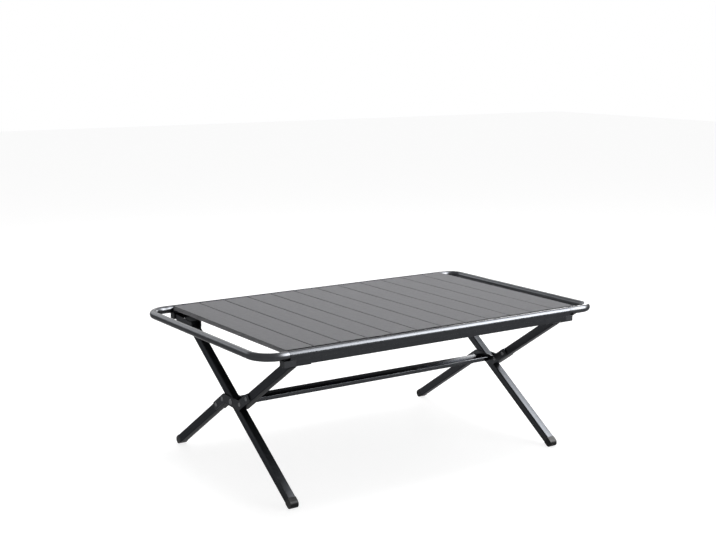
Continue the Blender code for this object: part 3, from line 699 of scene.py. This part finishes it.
@dataclass(frozen=True)
class Layout:
    """Sizes that the sub-assemblies share, in metres."""

    deck_left: float = -0.4915
    deck_height: float = 0.427
    deck_width: float = 0.644
    slat_count: int = 12
    slat_pitch: float = 0.083
    rail_short: float = 0.033
    bead: float = 0.022
    bead_wall: float = 0.002
    rail_bottom: float = 0.389
    leg_size: float = 0.024
    leg_wall: float = 0.0018
    leg_inset: float = 0.022
    leg_inset_right: float = 0.032
    pivot: Triple = (0.0, -0.0119, 0.2146)
    pin_drop: float = 0.0475
    front_pin_inset: float = 0.022
    back_pin_inset: float = 0.0893
    hub_clearance: float = 0.0005
    foot_head: float = 0.012
    gap: float = 0.0003

    @property
    def rail_length(self) -> float:
        """Length of the rails, which end before the last slat does."""
        return self.slat_count * self.slat_pitch - self.rail_short

    @property
    def rail_right(self) -> float:
        """Where the rails end on the right."""
        return self.deck_left + self.rail_length

    @property
    def bead_y(self) -> float:
        """Distance of each bead's centre line from the middle."""
        return self.deck_width / 2 + self.bead / 2

    @property
    def bead_z(self) -> float:
        """Height of the beads' centre lines."""
        return self.deck_height - self.bead / 2

    @property
    def hub_offset(self) -> float:
        """Distance of a front leg's half tubes from the line through the pivot."""
        return self.leg_size + self.hub_clearance

    def leg_x(self, hand: Hand) -> float:
        """The plane of the legs at one end of the table.

        Args:
            hand: The end.

        Returns:
            Its place along X.
        """
        if hand is Hand.LEFT:
            return self.deck_left + self.leg_inset
        return self.rail_right - self.leg_inset_right

    def rise(self, edge: Edge) -> Vector:
        """From the pivot to the top pin of the leg that holds a rail.

        Args:
            edge: The rail's side.

        Returns:
            The way there, across the table.
        """
        height = self.deck_height - self.pin_drop - self.pivot[2]
        if edge is Edge.FRONT:
            return Vector((0.0, self.front_pin_inset - self.deck_width / 2 - self.pivot[1], height))
        return Vector((0.0, self.deck_width / 2 - self.back_pin_inset - self.pivot[1], height))

    def pin_along(self, edge: Edge) -> float:
        """Distance of a leg's top pin up the leg.

        Args:
            edge: The side that the leg's top leans to.

        Returns:
            The distance from the pivot's level.
        """
        if edge is Edge.FRONT:
            return math.sqrt(self.rise(edge).length_squared - self.hub_offset ** 2)
        return self.rise(edge).length

    def slope(self, edge: Edge) -> float:
        """Slope of a leg.

        Args:
            edge: The side that the leg's top leans to.

        Returns:
            The angle from the ground in radians.
        """
        rise = self.rise(edge)
        if edge is Edge.FRONT:
            return math.atan2(rise.z, -rise.y) + math.asin(self.hub_offset / rise.length)
        return math.atan2(rise.z, rise.y)

    def seam(self, edge: Edge, offset: float) -> float:
        """Distance down a leg from the pivot's level to the seam of its foot.

        Args:
            edge: The side that the leg's top leans to.
            offset: Distance of the leg's tube square to the line through the pivot.

        Returns:
            The distance along the leg.
        """
        slope = self.slope(edge)
        height = self.pivot[2] + offset * math.cos(slope) - self.leg_size / 2
        return height / math.sin(slope) - self.foot_head

    def leg_place(self, hand: Hand, edge: Edge, along: float, offset: float) -> Matrix:
        """Place of a piece whose local Z runs up a leg and local Y square to it.

        Args:
            hand: The end of the table.
            edge: The side that the leg's top leans to.
            along: Distance up the leg from the pivot's level.
            offset: Distance square to the leg.

        Returns:
            The matrix of the piece.
        """
        lean = -1.0 if edge is Edge.FRONT else 1.0
        slope = self.slope(edge)
        up = Vector((0.0, lean * math.cos(slope), math.sin(slope)))
        out = Vector((0.0, -lean * math.sin(slope), math.cos(slope)))
        place = Vector(self.pivot) + up * along + out * offset
        place.x = self.leg_x(hand)
        return axes(out.cross(up), out, up, place)


@dataclass
class SlatTop:
    """Twelve hollow slats that lie side by side on the rails' ledges."""

    shop: Workshop
    layout: Layout
    seam: float = 0.0005
    groove: float = 0.0034
    groove_depth: float = 0.0030
    thickness: float = 0.012
    wall: float = 0.0016
    edge_radius: float = 0.0009
    edge_steps: int = 6
    chamber_radius: float = 0.0006
    chamber_steps: int = 3
    soften: float = 0.0004
    length: float = 0.642

    def outline(self) -> Ring:
        """Section of a slat, from its hinge line and its top.

        Returns:
            The outline, with the steps that widen each groove.
        """
        left = self.seam / 2
        right = self.layout.slat_pitch - left
        shoulder = self.groove / 2
        return filleted([
            (left, -self.thickness, self.edge_radius),
            (right, -self.thickness, self.edge_radius),
            (right, -self.groove_depth, self.edge_radius / 3),
            (self.layout.slat_pitch - shoulder, -self.groove_depth, 0.0),
            (self.layout.slat_pitch - shoulder, 0.0, self.edge_radius),
            (shoulder, 0.0, self.edge_radius),
            (shoulder, -self.groove_depth, 0.0),
            (left, -self.groove_depth, self.edge_radius / 3),
        ], self.edge_steps)

    def chambers(self) -> list[Ring]:
        """The two long chambers of the section.

        Returns:
            The outline of each.
        """
        left = self.groove / 2 + self.wall
        middle = self.layout.slat_pitch / 2
        top = -self.wall
        bottom = self.wall - self.thickness
        rings = []
        for low, high in ((left, middle - self.wall / 2),
                          (middle + self.wall / 2, self.layout.slat_pitch - left)):
            corners = ((low, bottom), (high, bottom), (high, top), (low, top))
            rings.append(filleted([(x, y, self.chamber_radius) for x, y in corners], self.chamber_steps))
        return rings

    def build(self) -> None:
        """Add the slats, each on its own body."""
        section = [self.outline()] + self.chambers()
        for number in range(1, self.layout.slat_count + 1):
            name = f"fine_slat_{number:02d}"
            mesh = Shapes.prism(name, section, self.length)
            along = self.layout.deck_left + (number - 1) * self.layout.slat_pitch
            hinge = Vector((along, 0.0, self.layout.deck_height))
            body = "tabletop" if number == 1 else f"roll_slat_{number:02d}"
            self.shop.add(name, mesh, POWDER_COAT, body, "slat_aluminium", [f"slat_{number:02d}"],
                          axes(X_AXIS, Z_AXIS, -Y_AXIS, hinge), self.soften)


@dataclass
class Rails:
    """Front and back rails: a bead tube in a cradle over a box that carries the slats' ledge."""

    shop: Workshop
    layout: Layout
    rounding: float = 0.0004
    lip: float = 0.0001
    box_wall: float = 0.0018
    box_radius: float = 0.0015
    box_drop: float = 0.023
    box_trim: float = 0.018
    ledge_reach: float = 0.012
    ledge_thickness: float = 0.0025
    ledge_drop: float = 0.0123
    web: float = 0.002
    cradle_steps: int = 18
    outer_steps: int = 5
    inner_steps: int = 3

    def cradle(self) -> Ring:
        """Section of the cradle, its flush skirt and the ledge, from the face that the slats meet.

        Returns:
            The outline.
        """
        lay = self.layout
        radius = lay.bead / 2
        hollow = radius + lay.gap
        skirt = lay.bead - self.lip
        top = lay.deck_height - self.box_drop
        ledge = lay.deck_height - self.ledge_drop
        outer_lip = 180.0 + math.degrees(math.acos((skirt - radius) / hollow))
        inner_lip = 360.0 + math.degrees(math.asin((ledge - lay.bead_z) / hollow))
        ring = arc((-radius, lay.bead_z), hollow, outer_lip, inner_lip, self.cradle_steps)
        ring += [
            (self.ledge_reach, ledge),
            (self.ledge_reach, ledge - self.ledge_thickness),
            (self.web, ledge - self.ledge_thickness),
            (self.web, top + self.web),
            (-self.web, top),
            (-skirt, top),
        ]
        return ring

    def box(self) -> list[Ring]:
        """Section of the box under the cradle.

        Returns:
            The outer and the inner outline.
        """
        lay = self.layout
        wall = self.box_wall
        radius = self.box_radius
        left, right = -lay.bead, -self.web
        bottom, top = lay.rail_bottom, lay.deck_height - self.box_drop
        outer = [(left, bottom, radius), (right, bottom, radius), (right, top, 0.0), (left, top, 0.0)]
        corners = ((left + wall, bottom + wall), (right - wall, bottom + wall),
                   (right - wall, top - wall), (left + wall, top - wall))
        inner = [(x, y, radius / 2) for x, y in corners]
        return [filleted(outer, self.outer_steps), filleted(inner, self.inner_steps)]

    def build(self) -> None:
        """Add each rail as a cradle and a box, and its bead as a finely turned tube."""
        lay = self.layout
        for edge, side in ((Edge.FRONT, -1), (Edge.BACK, 1)):
            node = f"{edge.value}_rail"
            inward = Y_AXIS * -side
            middle = Vector((lay.deck_left + lay.rail_length / 2, side * lay.deck_width / 2, 0.0))
            place = axes(inward, Z_AXIS, inward.cross(Z_AXIS), middle)
            for part, rings, length in (("cradle", [self.cradle()], lay.rail_length),
                                        ("box", self.box(), lay.rail_length - 2 * self.box_trim)):
                name = f"fine_{node}_{part}"
                stands_for = [node] if part == "cradle" else ()
                self.shop.add(name, Shapes.prism(name, rings, length), ANODISED_ALONG_Z, "tabletop",
                              "dark_aluminium", stands_for, place)
            name = f"fine_{node}_bead"
            start = Vector((lay.deck_left, side * lay.bead_y, lay.bead_z))
            run = Shapes.tube_ends(lay.rail_length, lay.bead / 2, lay.bead_wall, self.rounding)
            mesh = Shapes.pipe(name, [(start + X_AXIS * shift, X_AXIS, radius) for shift, radius in run])
            self.shop.add(name, mesh, ANODISED_ALONG_X, "tabletop", "dark_aluminium", [f"{node}_bead"])


@dataclass
class Brackets:
    """Four painted castings under the rails, their rivets, and the leg pins that they hook over."""

    shop: Workshop
    layout: Layout
    flange: float = 0.0018
    setback: float = 0.012
    rivet_radius: float = 0.0032
    rivet_height: float = 0.0012
    head_radius: float = 0.0042
    front_rivets: tuple[float, float] = (-0.031, 0.031)
    back_rivets: tuple[float, float] = (-0.013, 0.031)

    def pin_heads(self, node: str) -> None:
        """Dress a pin and give it a low riveted head at each end.

        Args:
            node: The pin's node.
        """
        self.shop.dress(ZINC_STEEL, node)
        body = body_of(self.shop.nodes[node])[0]
        low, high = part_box(node)
        for number, (end, outward) in enumerate(((low[0], -X_AXIS), (high[0], X_AXIS)), 1):
            head = Shapes.turned("pin_head", Shapes.dome(self.head_radius, self.rivet_height))
            place = Vector((end, (low[1] + high[1]) / 2, (low[2] + high[2]) / 2))
            self.shop.add(f"{node}_head_{number}", head, ZINC_STEEL, body, "steel", (),
                          axes(Y_AXIS, outward.cross(Y_AXIS), outward, place))

    def build(self) -> None:
        """Dress the castings and the pins, and add the rivets and the pins' heads."""
        lay = self.layout
        under = lay.rail_bottom - self.flange
        for edge, side in ((Edge.FRONT, -1), (Edge.BACK, 1)):
            rivets = self.front_rivets if edge is Edge.FRONT else self.back_rivets
            across = side * (lay.deck_width / 2 + self.setback)
            for hand in Hand:
                bracket = f"{edge.value}_bracket_{hand.value}"
                self.shop.dress(PAINTED_CASTING, bracket)
                self.pin_heads(f"{edge.value}_leg_top_pin_{hand.value}")
                inboard = 1.0 if hand is Hand.LEFT else -1.0
                for number, along in enumerate(rivets, 1):
                    head = Shapes.turned("rivet", Shapes.dome(self.rivet_radius, self.rivet_height))
                    place = Vector((lay.leg_x(hand) + inboard * along, across, under))
                    self.shop.add(f"{bracket}_rivet_{number}", head, ZINC_STEEL, "tabletop", "steel", (),
                                  axes(X_AXIS, -Y_AXIS, -Z_AXIS, place))


@dataclass
class EndLoop:
    """A bent round tube at one end of the top, drawn down where it slides into the rails."""

    shop: Workshop
    layout: Layout
    node: str
    body: str
    hand: Hand
    reach: float
    radius: float
    wall: float = 0.0015
    spigot: float = 0.0174
    in_rail: float = 0.045
    root: float = 0.004
    rounding: float = 0.0007
    rounding_middle: float = 0.3
    bend_steps: int = 28

    @property
    def end_x(self) -> float:
        """Where the rails end on the loop's side."""
        return self.layout.deck_left if self.hand is Hand.LEFT else self.layout.rail_right

    @property
    def outward(self) -> float:
        """Sign of X away from the table's middle."""
        return -1.0 if self.hand is Hand.LEFT else 1.0

    def path(self) -> list[tuple[Vector, Vector]]:
        """Centre line from one rail end to the other.

        Returns:
            Points and the directions at them.
        """
        lay = self.layout
        bends = [
            ((self.reach - self.radius, self.radius - lay.bead_y), -90.0),
            ((self.reach - self.radius, lay.bead_y - self.radius), 0.0),
        ]
        stations = []
        for centre, start in bends:
            for step in range(self.bend_steps + 1):
                angle = math.radians(start + 90.0 * step / self.bend_steps)
                along = centre[0] + self.radius * math.cos(angle)
                across = centre[1] + self.radius * math.sin(angle)
                point = Vector((self.end_x + self.outward * along, across, lay.bead_z))
                stations.append((point, Vector((-self.outward * math.sin(angle), math.cos(angle), 0.0))))
        return stations

    def skin(self) -> list[Station]:
        """Run over the outside from mouth to mouth, and back along the inside.

        Returns:
            Centre, direction and radius of each ring.
        """
        lay = self.layout
        outward = X_AXIS * self.outward
        radius = lay.bead / 2
        slim = self.spigot / 2
        middle = self.rounding_middle * self.rounding
        outside = [
            (-self.in_rail, slim - 2 * self.rounding),
            (-self.in_rail + 2 * self.rounding, slim),
            (lay.gap, slim),
            (lay.gap, radius - self.rounding),
            (lay.gap + middle, radius - middle),
            (lay.gap + self.rounding, radius),
        ]
        inside = [
            (-self.in_rail, slim - self.wall),
            (self.root, slim - self.wall),
            (self.root + self.wall, radius - self.wall),
        ]
        start = Vector((self.end_x, -lay.bead_y, lay.bead_z))
        finish = Vector((self.end_x, lay.bead_y, lay.bead_z))
        bends = self.path()
        stations = [(start + outward * shift, outward, size) for shift, size in outside]
        stations += [(point, way, radius) for point, way in bends]
        stations += [(finish + outward * shift, -outward, size) for shift, size in reversed(outside)]
        stations += [(finish + outward * shift, -outward, size) for shift, size in inside]
        stations += [(point, way, radius - self.wall) for point, way in reversed(bends)]
        stations += [(start + outward * shift, outward, size) for shift, size in reversed(inside)]
        return stations

    def build(self) -> None:
        """Add the loop in place of its plain solid."""
        name = f"fine_{self.node}"
        self.shop.add(name, Shapes.pipe(name, self.skin()), ANODISED_BENT, self.body, "dark_aluminium",
                      [self.node])


@dataclass
class LegPair:
    """A left and a right leg of one pair, with their feet."""

    shop: Workshop
    layout: Layout
    edge: Edge
    corner: float = 0.003
    foot_edge: float = 0.0014
    hub_end_cut: float = 0.028
    past_pin: float = 0.011
    outer_steps: int = 8
    inner_steps: int = 4
    sole_steps: int = 48

    @property
    def body(self) -> str:
        """The body that the pair rides on."""
        return f"{self.edge.value}_legs"

    def tube(self, node: str, place: Matrix, length: float) -> None:
        """Add a square tube in place of its plain solid.

        Args:
            node: The node that it replaces.
            place: Where its lower end is.
            length: Its length.
        """
        lay = self.layout
        inner = lay.leg_size - 2 * lay.leg_wall
        mesh = Shapes.prism(f"fine_{node}", [
            rounded_box(lay.leg_size, lay.leg_size, self.corner, self.outer_steps),
            rounded_box(inner, inner, self.corner - lay.leg_wall, self.inner_steps),
        ], length)
        mesh.transform(Matrix.Translation((0.0, 0.0, length / 2)))
        self.shop.add(f"fine_{node}", mesh, ANODISED_ALONG_Z, self.body, "dark_aluminium", [node], place)

    def foot(self, node: str, place: Matrix) -> None:
        """Add a foot with a half-round sole in place of its plain solid.

        Args:
            node: The node that it replaces.
            place: Where its seam with the tube is.
        """
        lay = self.layout
        half = lay.leg_size / 2
        outline = [(half, 0.0), (-half, 0.0), (-half, -lay.foot_head)]
        outline += arc((0.0, -lay.foot_head), half, 180.0, 360.0, self.sole_steps)[1:]
        head = Shapes.prism(node, [outline], lay.leg_size)
        head.transform(axes(Y_AXIS, Z_AXIS, X_AXIS))
        self.shop.add(f"fine_{node}", head, BLACK_POLYPROPYLENE, self.body, "dark_plastic", [node],
                      place, self.foot_edge)

    def build(self) -> None:
        """Add both legs with their feet."""
        lay = self.layout
        for hand in Hand:
            if self.edge is Edge.BACK:
                seam = lay.seam(self.edge, 0.0)
                length = seam - lay.gap + lay.pin_along(self.edge) + self.past_pin
                lower = lay.leg_place(hand, self.edge, lay.gap - seam, 0.0)
                self.tube(f"back_leg_{hand.value}", lower, length)
                self.foot(f"back_leg_foot_{hand.value}", lay.leg_place(hand, self.edge, -seam, 0.0))
                self.shop.dress(GREY_NYLON, f"pivot_bushing_{hand.value}")
                continue
            offset = lay.hub_offset
            seam = lay.seam(self.edge, offset)
            upper = lay.leg_place(hand, self.edge, self.hub_end_cut, -offset)
            length = lay.pin_along(self.edge) + self.past_pin - self.hub_end_cut
            self.tube(f"front_leg_upper_{hand.value}", upper, length)
            lower = lay.leg_place(hand, self.edge, lay.gap - seam, offset)
            self.tube(f"front_leg_lower_{hand.value}", lower, seam - self.hub_end_cut - lay.gap)
            self.foot(f"front_leg_foot_{hand.value}", lay.leg_place(hand, self.edge, -seam, offset))


@dataclass
class Hubs:
    """The plates, rivets and pivot bolts where the legs cross."""

    shop: Workshop
    layout: Layout
    thickness: float = 0.003
    reach: float = 0.104
    waist: float = 0.040
    end_cut: float = 0.028
    corner: float = 0.006
    edge: float = 0.0006
    rivets_at: tuple[float, float] = (0.0435, 0.0885)
    head_radius: float = 0.006
    head_height: float = 0.0022
    dimple_radius: float = 0.22
    dimple_depth: float = 0.35
    corner_steps: int = 8

    def outline(self) -> Ring:
        """The Z-shaped outline of a plate.

        Returns:
            The outline, with its corners rounded.
        """
        lay = self.layout
        far = lay.hub_offset + lay.leg_size / 2
        near = lay.hub_offset - lay.leg_size / 2
        half = [
            (self.reach, -far, self.corner),
            (self.reach, -near, self.corner),
            (self.waist, -near, self.corner),
            (-self.end_cut, far, self.corner),
        ]
        return filleted(half + [(-x, -y, radius) for x, y, radius in half], self.corner_steps)

    def rivet(self) -> bpy.types.Mesh:
        """A rivet with a low dome at each end and a dimple in each dome.

        The dimple's radius and depth are shares of the head's radius and height.

        Returns:
            The closed mesh, about the rivet's middle.
        """
        reach = self.layout.leg_size / 2 + self.layout.gap + self.thickness + self.layout.gap
        shank = self.head_radius / 2
        crown = Shapes.dome(self.head_radius, self.head_height)
        dome = [(radius, reach + height) for radius, height in crown]
        dimple = [(0.0, dome[0][1] - self.head_height * self.dimple_depth),
                  (self.head_radius * self.dimple_radius, dome[1][1])]
        upper = dimple + dome[2:]
        lower = [(radius, -height) for radius, height in reversed(upper)]
        return Shapes.turned("rivet", upper + [(shank, reach), (shank, -reach)] + lower)

    def build(self) -> None:
        """Add the plates and rivets, and dress the bolts."""
        lay = self.layout
        shift = lay.leg_size / 2 + lay.gap + self.thickness / 2
        turn = axes(Z_AXIS, Y_AXIS, -X_AXIS)
        for hand in Hand:
            middle = lay.leg_place(hand, Edge.FRONT, 0.0, 0.0) @ turn
            for face, side in (("left", 1), ("right", -1)):
                node = f"hub_plate_{hand.value}_leg_{face}_face"
                mesh = Shapes.prism(f"fine_{node}", [self.outline()], self.thickness)
                place = middle @ Matrix.Translation((0.0, 0.0, side * shift))
                self.shop.add(f"fine_{node}", mesh, ANODISED_PLATE, "front_legs", "dark_aluminium", [node],
                              place, self.edge)
            number = 0
            for along in self.rivets_at:
                for sign in (1, -1):
                    number += 1
                    node = f"hub_rivet_{hand.value}_{number}"
                    place = middle @ Matrix.Translation((sign * along, -sign * lay.hub_offset, 0.0))
                    self.shop.add(f"fine_{node}", self.rivet(), ZINC_STEEL, "front_legs", "steel", [node],
                                  place)
            self.shop.dress(ZINC_STEEL, f"pivot_bolt_{hand.value}")


@dataclass
class Stretcher:
    """The flat bar between the hubs, with its cast end fittings."""

    shop: Workshop
    layout: Layout
    width: float = 0.050
    thickness: float = 0.0125
    wall: float = 0.0018
    corner: float = 0.002
    outer_steps: int = 8
    inner_steps: int = 3

    def build(self) -> None:
        """Add the bar and dress its ends."""
        low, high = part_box("stretcher")
        middle = Vector([(a + b) / 2 for a, b in zip(low, high)])
        mesh = Shapes.prism("fine_stretcher", [
            rounded_box(self.width, self.thickness, self.corner, self.outer_steps),
            rounded_box(self.width - 2 * self.wall, self.thickness - 2 * self.wall, self.wall / 3,
                        self.inner_steps),
        ], high[0] - low[0])
        # The bar's finish holds painted shade: a weak edge tint that keeps it black where it is seen at a
        # low angle.
        self.shop.add("fine_stretcher", mesh, ANODISED_FLAT_PAINTED_SHADE, "stretcher_frame", "dark_aluminium",
                      ["stretcher"], axes(Y_AXIS, Z_AXIS, X_AXIS, middle))
        for hand in Hand:
            self.shop.dress(PAINTED_CASTING, f"stretcher_end_{hand.value}")


@dataclass(frozen=True)
class SoftBox:
    """A rectangular lamp that faces a point, with 1 as the brightness of white.

    One that fills lights all matt faces. One that doesn't is a card that shows in gloss.
    """

    name: str
    place: Triple
    size: tuple[float, float]
    radiance: float
    target: Triple = (0.0, 0.0, 0.3)
    fills: bool = False


# Lights the top from above, and is the only lamp that matt faces see.
KEY_SOFTBOX = SoftBox(
    "key_softbox", place=(0.6, 0.3, 3.4), size=(1.8, 1.6), radiance=10.2, fills=True)
# Cards behind the table, for the highlights on its far tubes and on the legs' faces.
BACK_CARDS = (
    SoftBox("back_card", place=(1.6, 4.0, 2.6), size=(2.4, 2.2), radiance=5.5),
    SoftBox("left_back_card", place=(-1.1, 4.0, 2.1), size=(3.0, 1.7), radiance=7.0),
    SoftBox("right_back_card", place=(3.75, 2.88, 1.3), size=(1.8, 1.0), radiance=26.0,
            target=(0.35, 0.0, 0.2)),
)


@dataclass
class Studio:
    """Pale floor, soft lamps and the camera at the photograph's viewing angle."""

    focal_px: float = 1230.45
    frame_px: tuple[int, int] = (716, 540)
    sensor_mm: float = 36.0
    eye: Triple = (-2.0427, -2.9161, 1.1833)
    yaw: float = math.radians(34.312)
    pitch: float = math.radians(10.326)
    roll: float = math.radians(0.188)
    view_depth: float = 60.0
    arch_axis: Triple = (0.0, -0.33, 0.42)
    arch_radius: float = 3.0
    arch_half_angle: float = math.radians(18.5)
    arch_card_width: float = 1.1
    arch_columns: tuple[tuple[float, float], ...] = ((1.7, 28.0), (2.8, 46.0), (3.9, 46.0))
    arch_rows: tuple[tuple[float, float], ...] = ((62.0, 0.15), (106.0, 0.75), (143.0, 1.0))
    floor_reach: float = 14.0
    floor_drop: float = 0.0006
    floor_cells: int = 8
    floor_colour: str = "#F7F7F7"
    floor_roughness: float = 0.9
    floor_share: float = 0.55
    floor_glow: float = 1.45
    sky: float = 0.32

    @staticmethod
    def seen(tree: bpy.types.NodeTree) -> bpy.types.NodeSocket:
        """Tell looking from lighting.

        Args:
            tree: The material's or the world's node tree.

        Returns:
            A socket that is one where the eye, a gloss or clear matter looks, and otherwise zero.
        """
        path = add_node(tree, "ShaderNodeLightPath")
        first = add_node(tree, "ShaderNodeMath", {"operation": "MAXIMUM"},
                         {0: path.outputs["Is Camera Ray"], 1: path.outputs["Is Glossy Ray"]})
        both = add_node(tree, "ShaderNodeMath", {"operation": "MAXIMUM"},
                        {0: first.outputs["Value"], 1: path.outputs["Is Transmission Ray"]})
        return both.outputs["Value"]

    def camera(self) -> None:
        """Add the camera and make it the scene's own."""
        forward = Vector((math.sin(self.yaw) * math.cos(self.pitch),
                          math.cos(self.yaw) * math.cos(self.pitch),
                          -math.sin(self.pitch)))
        right = Vector((math.cos(self.yaw), -math.sin(self.yaw), 0.0))
        up = right.cross(forward)
        turned_right = math.cos(self.roll) * right + math.sin(self.roll) * up
        turned_up = -math.sin(self.roll) * right + math.cos(self.roll) * up
        data = bpy.data.cameras.new("camera")
        data.sensor_fit = "HORIZONTAL"
        data.sensor_width = self.sensor_mm
        data.lens = self.focal_px / self.frame_px[0] * self.sensor_mm
        data.clip_end = self.view_depth
        camera = bpy.data.objects.new("camera", data)
        bpy.context.scene.collection.objects.link(camera)
        camera.matrix_world = axes(turned_right, turned_up, -forward, Vector(self.eye))
        bpy.context.scene.camera = camera

    def floor(self) -> None:
        """Add a wide pale floor that keeps the table's shadow."""
        mesh = bpy.data.meshes.new("floor")
        edit = bmesh.new()
        bmesh.ops.create_grid(edit, x_segments=self.floor_cells, y_segments=self.floor_cells,
                              size=self.floor_reach)
        edit.to_mesh(mesh)
        edit.free()
        floor = bpy.data.objects.new("floor", mesh)
        bpy.context.scene.collection.objects.link(floor)
        floor.location.z = -self.floor_drop
        # Painted board, matt and nearly white. It glows for the eye and for gloss, so that it fades into
        # the background, while its own paint still takes the table's shadow.
        material = bpy.data.materials.new("pale_studio_floor")
        material.use_nodes = True
        tree = material.node_tree
        shader = tree.nodes["Principled BSDF"]
        shader.inputs["Base Color"].default_value = linear(self.floor_colour)
        shader.inputs["Roughness"].default_value = self.floor_roughness
        glow = add_node(tree, "ShaderNodeEmission", {"Strength": self.floor_glow})
        share = add_node(tree, "ShaderNodeMath", {"operation": "MULTIPLY", 1: self.floor_share},
                         {0: self.seen(tree)})
        mix = add_node(tree, "ShaderNodeMixShader", links={
            0: share.outputs["Value"], 1: shader.outputs["BSDF"], 2: glow.outputs["Emission"]})
        tree.links.new(mix.outputs["Shader"], tree.nodes["Material Output"].inputs["Surface"])
        mesh.materials.append(material)

    def lamp(self, box: SoftBox) -> None:
        """Add a lamp.

        Args:
            box: Its place, target, size and brightness.
        """
        width, high = box.size
        data = bpy.data.lights.new(box.name, "AREA")
        data.shape = "RECTANGLE"
        data.size = width
        data.size_y = high
        data.energy = box.radiance * width * high * math.pi
        lamp = bpy.data.objects.new(box.name, data)
        bpy.context.scene.collection.objects.link(lamp)
        lamp.visible_diffuse = box.fills
        lamp.visible_glossy = not box.fills
        place = Vector(box.place)
        aim = (Vector(box.target) - place).to_track_quat("-Z", "Y")
        lamp.matrix_world = Matrix.Translation(place) @ aim.to_matrix().to_4x4()

    def arch(self) -> None:
        """Add cards on an arch about the front rail, brighter to the right, for its long highlight."""
        high = 2 * self.arch_radius * math.tan(self.arch_half_angle)
        for along, radiance in self.arch_columns:
            for degrees, share in self.arch_rows:
                turn = math.radians(degrees)
                target = Vector(self.arch_axis) + X_AXIS * along
                spoke = Vector((0.0, math.cos(turn), math.sin(turn))) * self.arch_radius
                self.lamp(SoftBox(f"arch_card_{along:.1f}_{degrees:.0f}", tuple(target + spoke),
                                  (self.arch_card_width, high), radiance * share, tuple(target)))

    def world(self) -> None:
        """Light from all round, with a white background for the eye and for gloss."""
        world = bpy.data.worlds.new("studio")
        world.use_nodes = True
        tree = world.node_tree
        background = tree.nodes["Background"]
        level = add_node(tree, "ShaderNodeMapRange", {"To Min": self.sky, "To Max": 1.0},
                         {"Value": self.seen(tree)})
        tree.links.new(level.outputs["Result"], background.inputs["Strength"])
        background.inputs["Color"].default_value = (1.0, 1.0, 1.0, 1.0)
        bpy.context.scene.world = world

    def build(self) -> None:
        """Set up the whole studio."""
        self.camera()
        self.floor()
        self.world()
        self.lamp(KEY_SOFTBOX)
        self.arch()
        for card in BACK_CARDS:
            self.lamp(card)
        bpy.context.scene.view_settings.view_transform = "Standard"


def main() -> None:
    """Load the frame, dress every sub-assembly and set up the studio."""
    logging.basicConfig(level=logging.INFO)
    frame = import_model()
    shop = Workshop(Finishes(), frame["nodes"])
    layout = Layout()
    SlatTop(shop, layout).build()
    Rails(shop, layout).build()
    Brackets(shop, layout).build()
    EndLoop(shop, layout, "hang_loop", "left_loop", Hand.LEFT, reach=0.080, radius=0.058).build()
    EndLoop(shop, layout, "end_loop", "right_loop", Hand.RIGHT, reach=0.100, radius=0.045).build()
    shop.dress(BLACK_POLYPROPYLENE, "end_loop_collar_front", "end_loop_collar_back")
    LegPair(shop, layout, Edge.FRONT, past_pin=0.014).build()
    LegPair(shop, layout, Edge.BACK).build()
    Hubs(shop, layout).build()
    Stretcher(shop, layout).build()
    Studio().build()


if __name__ == "__main__":
    main()
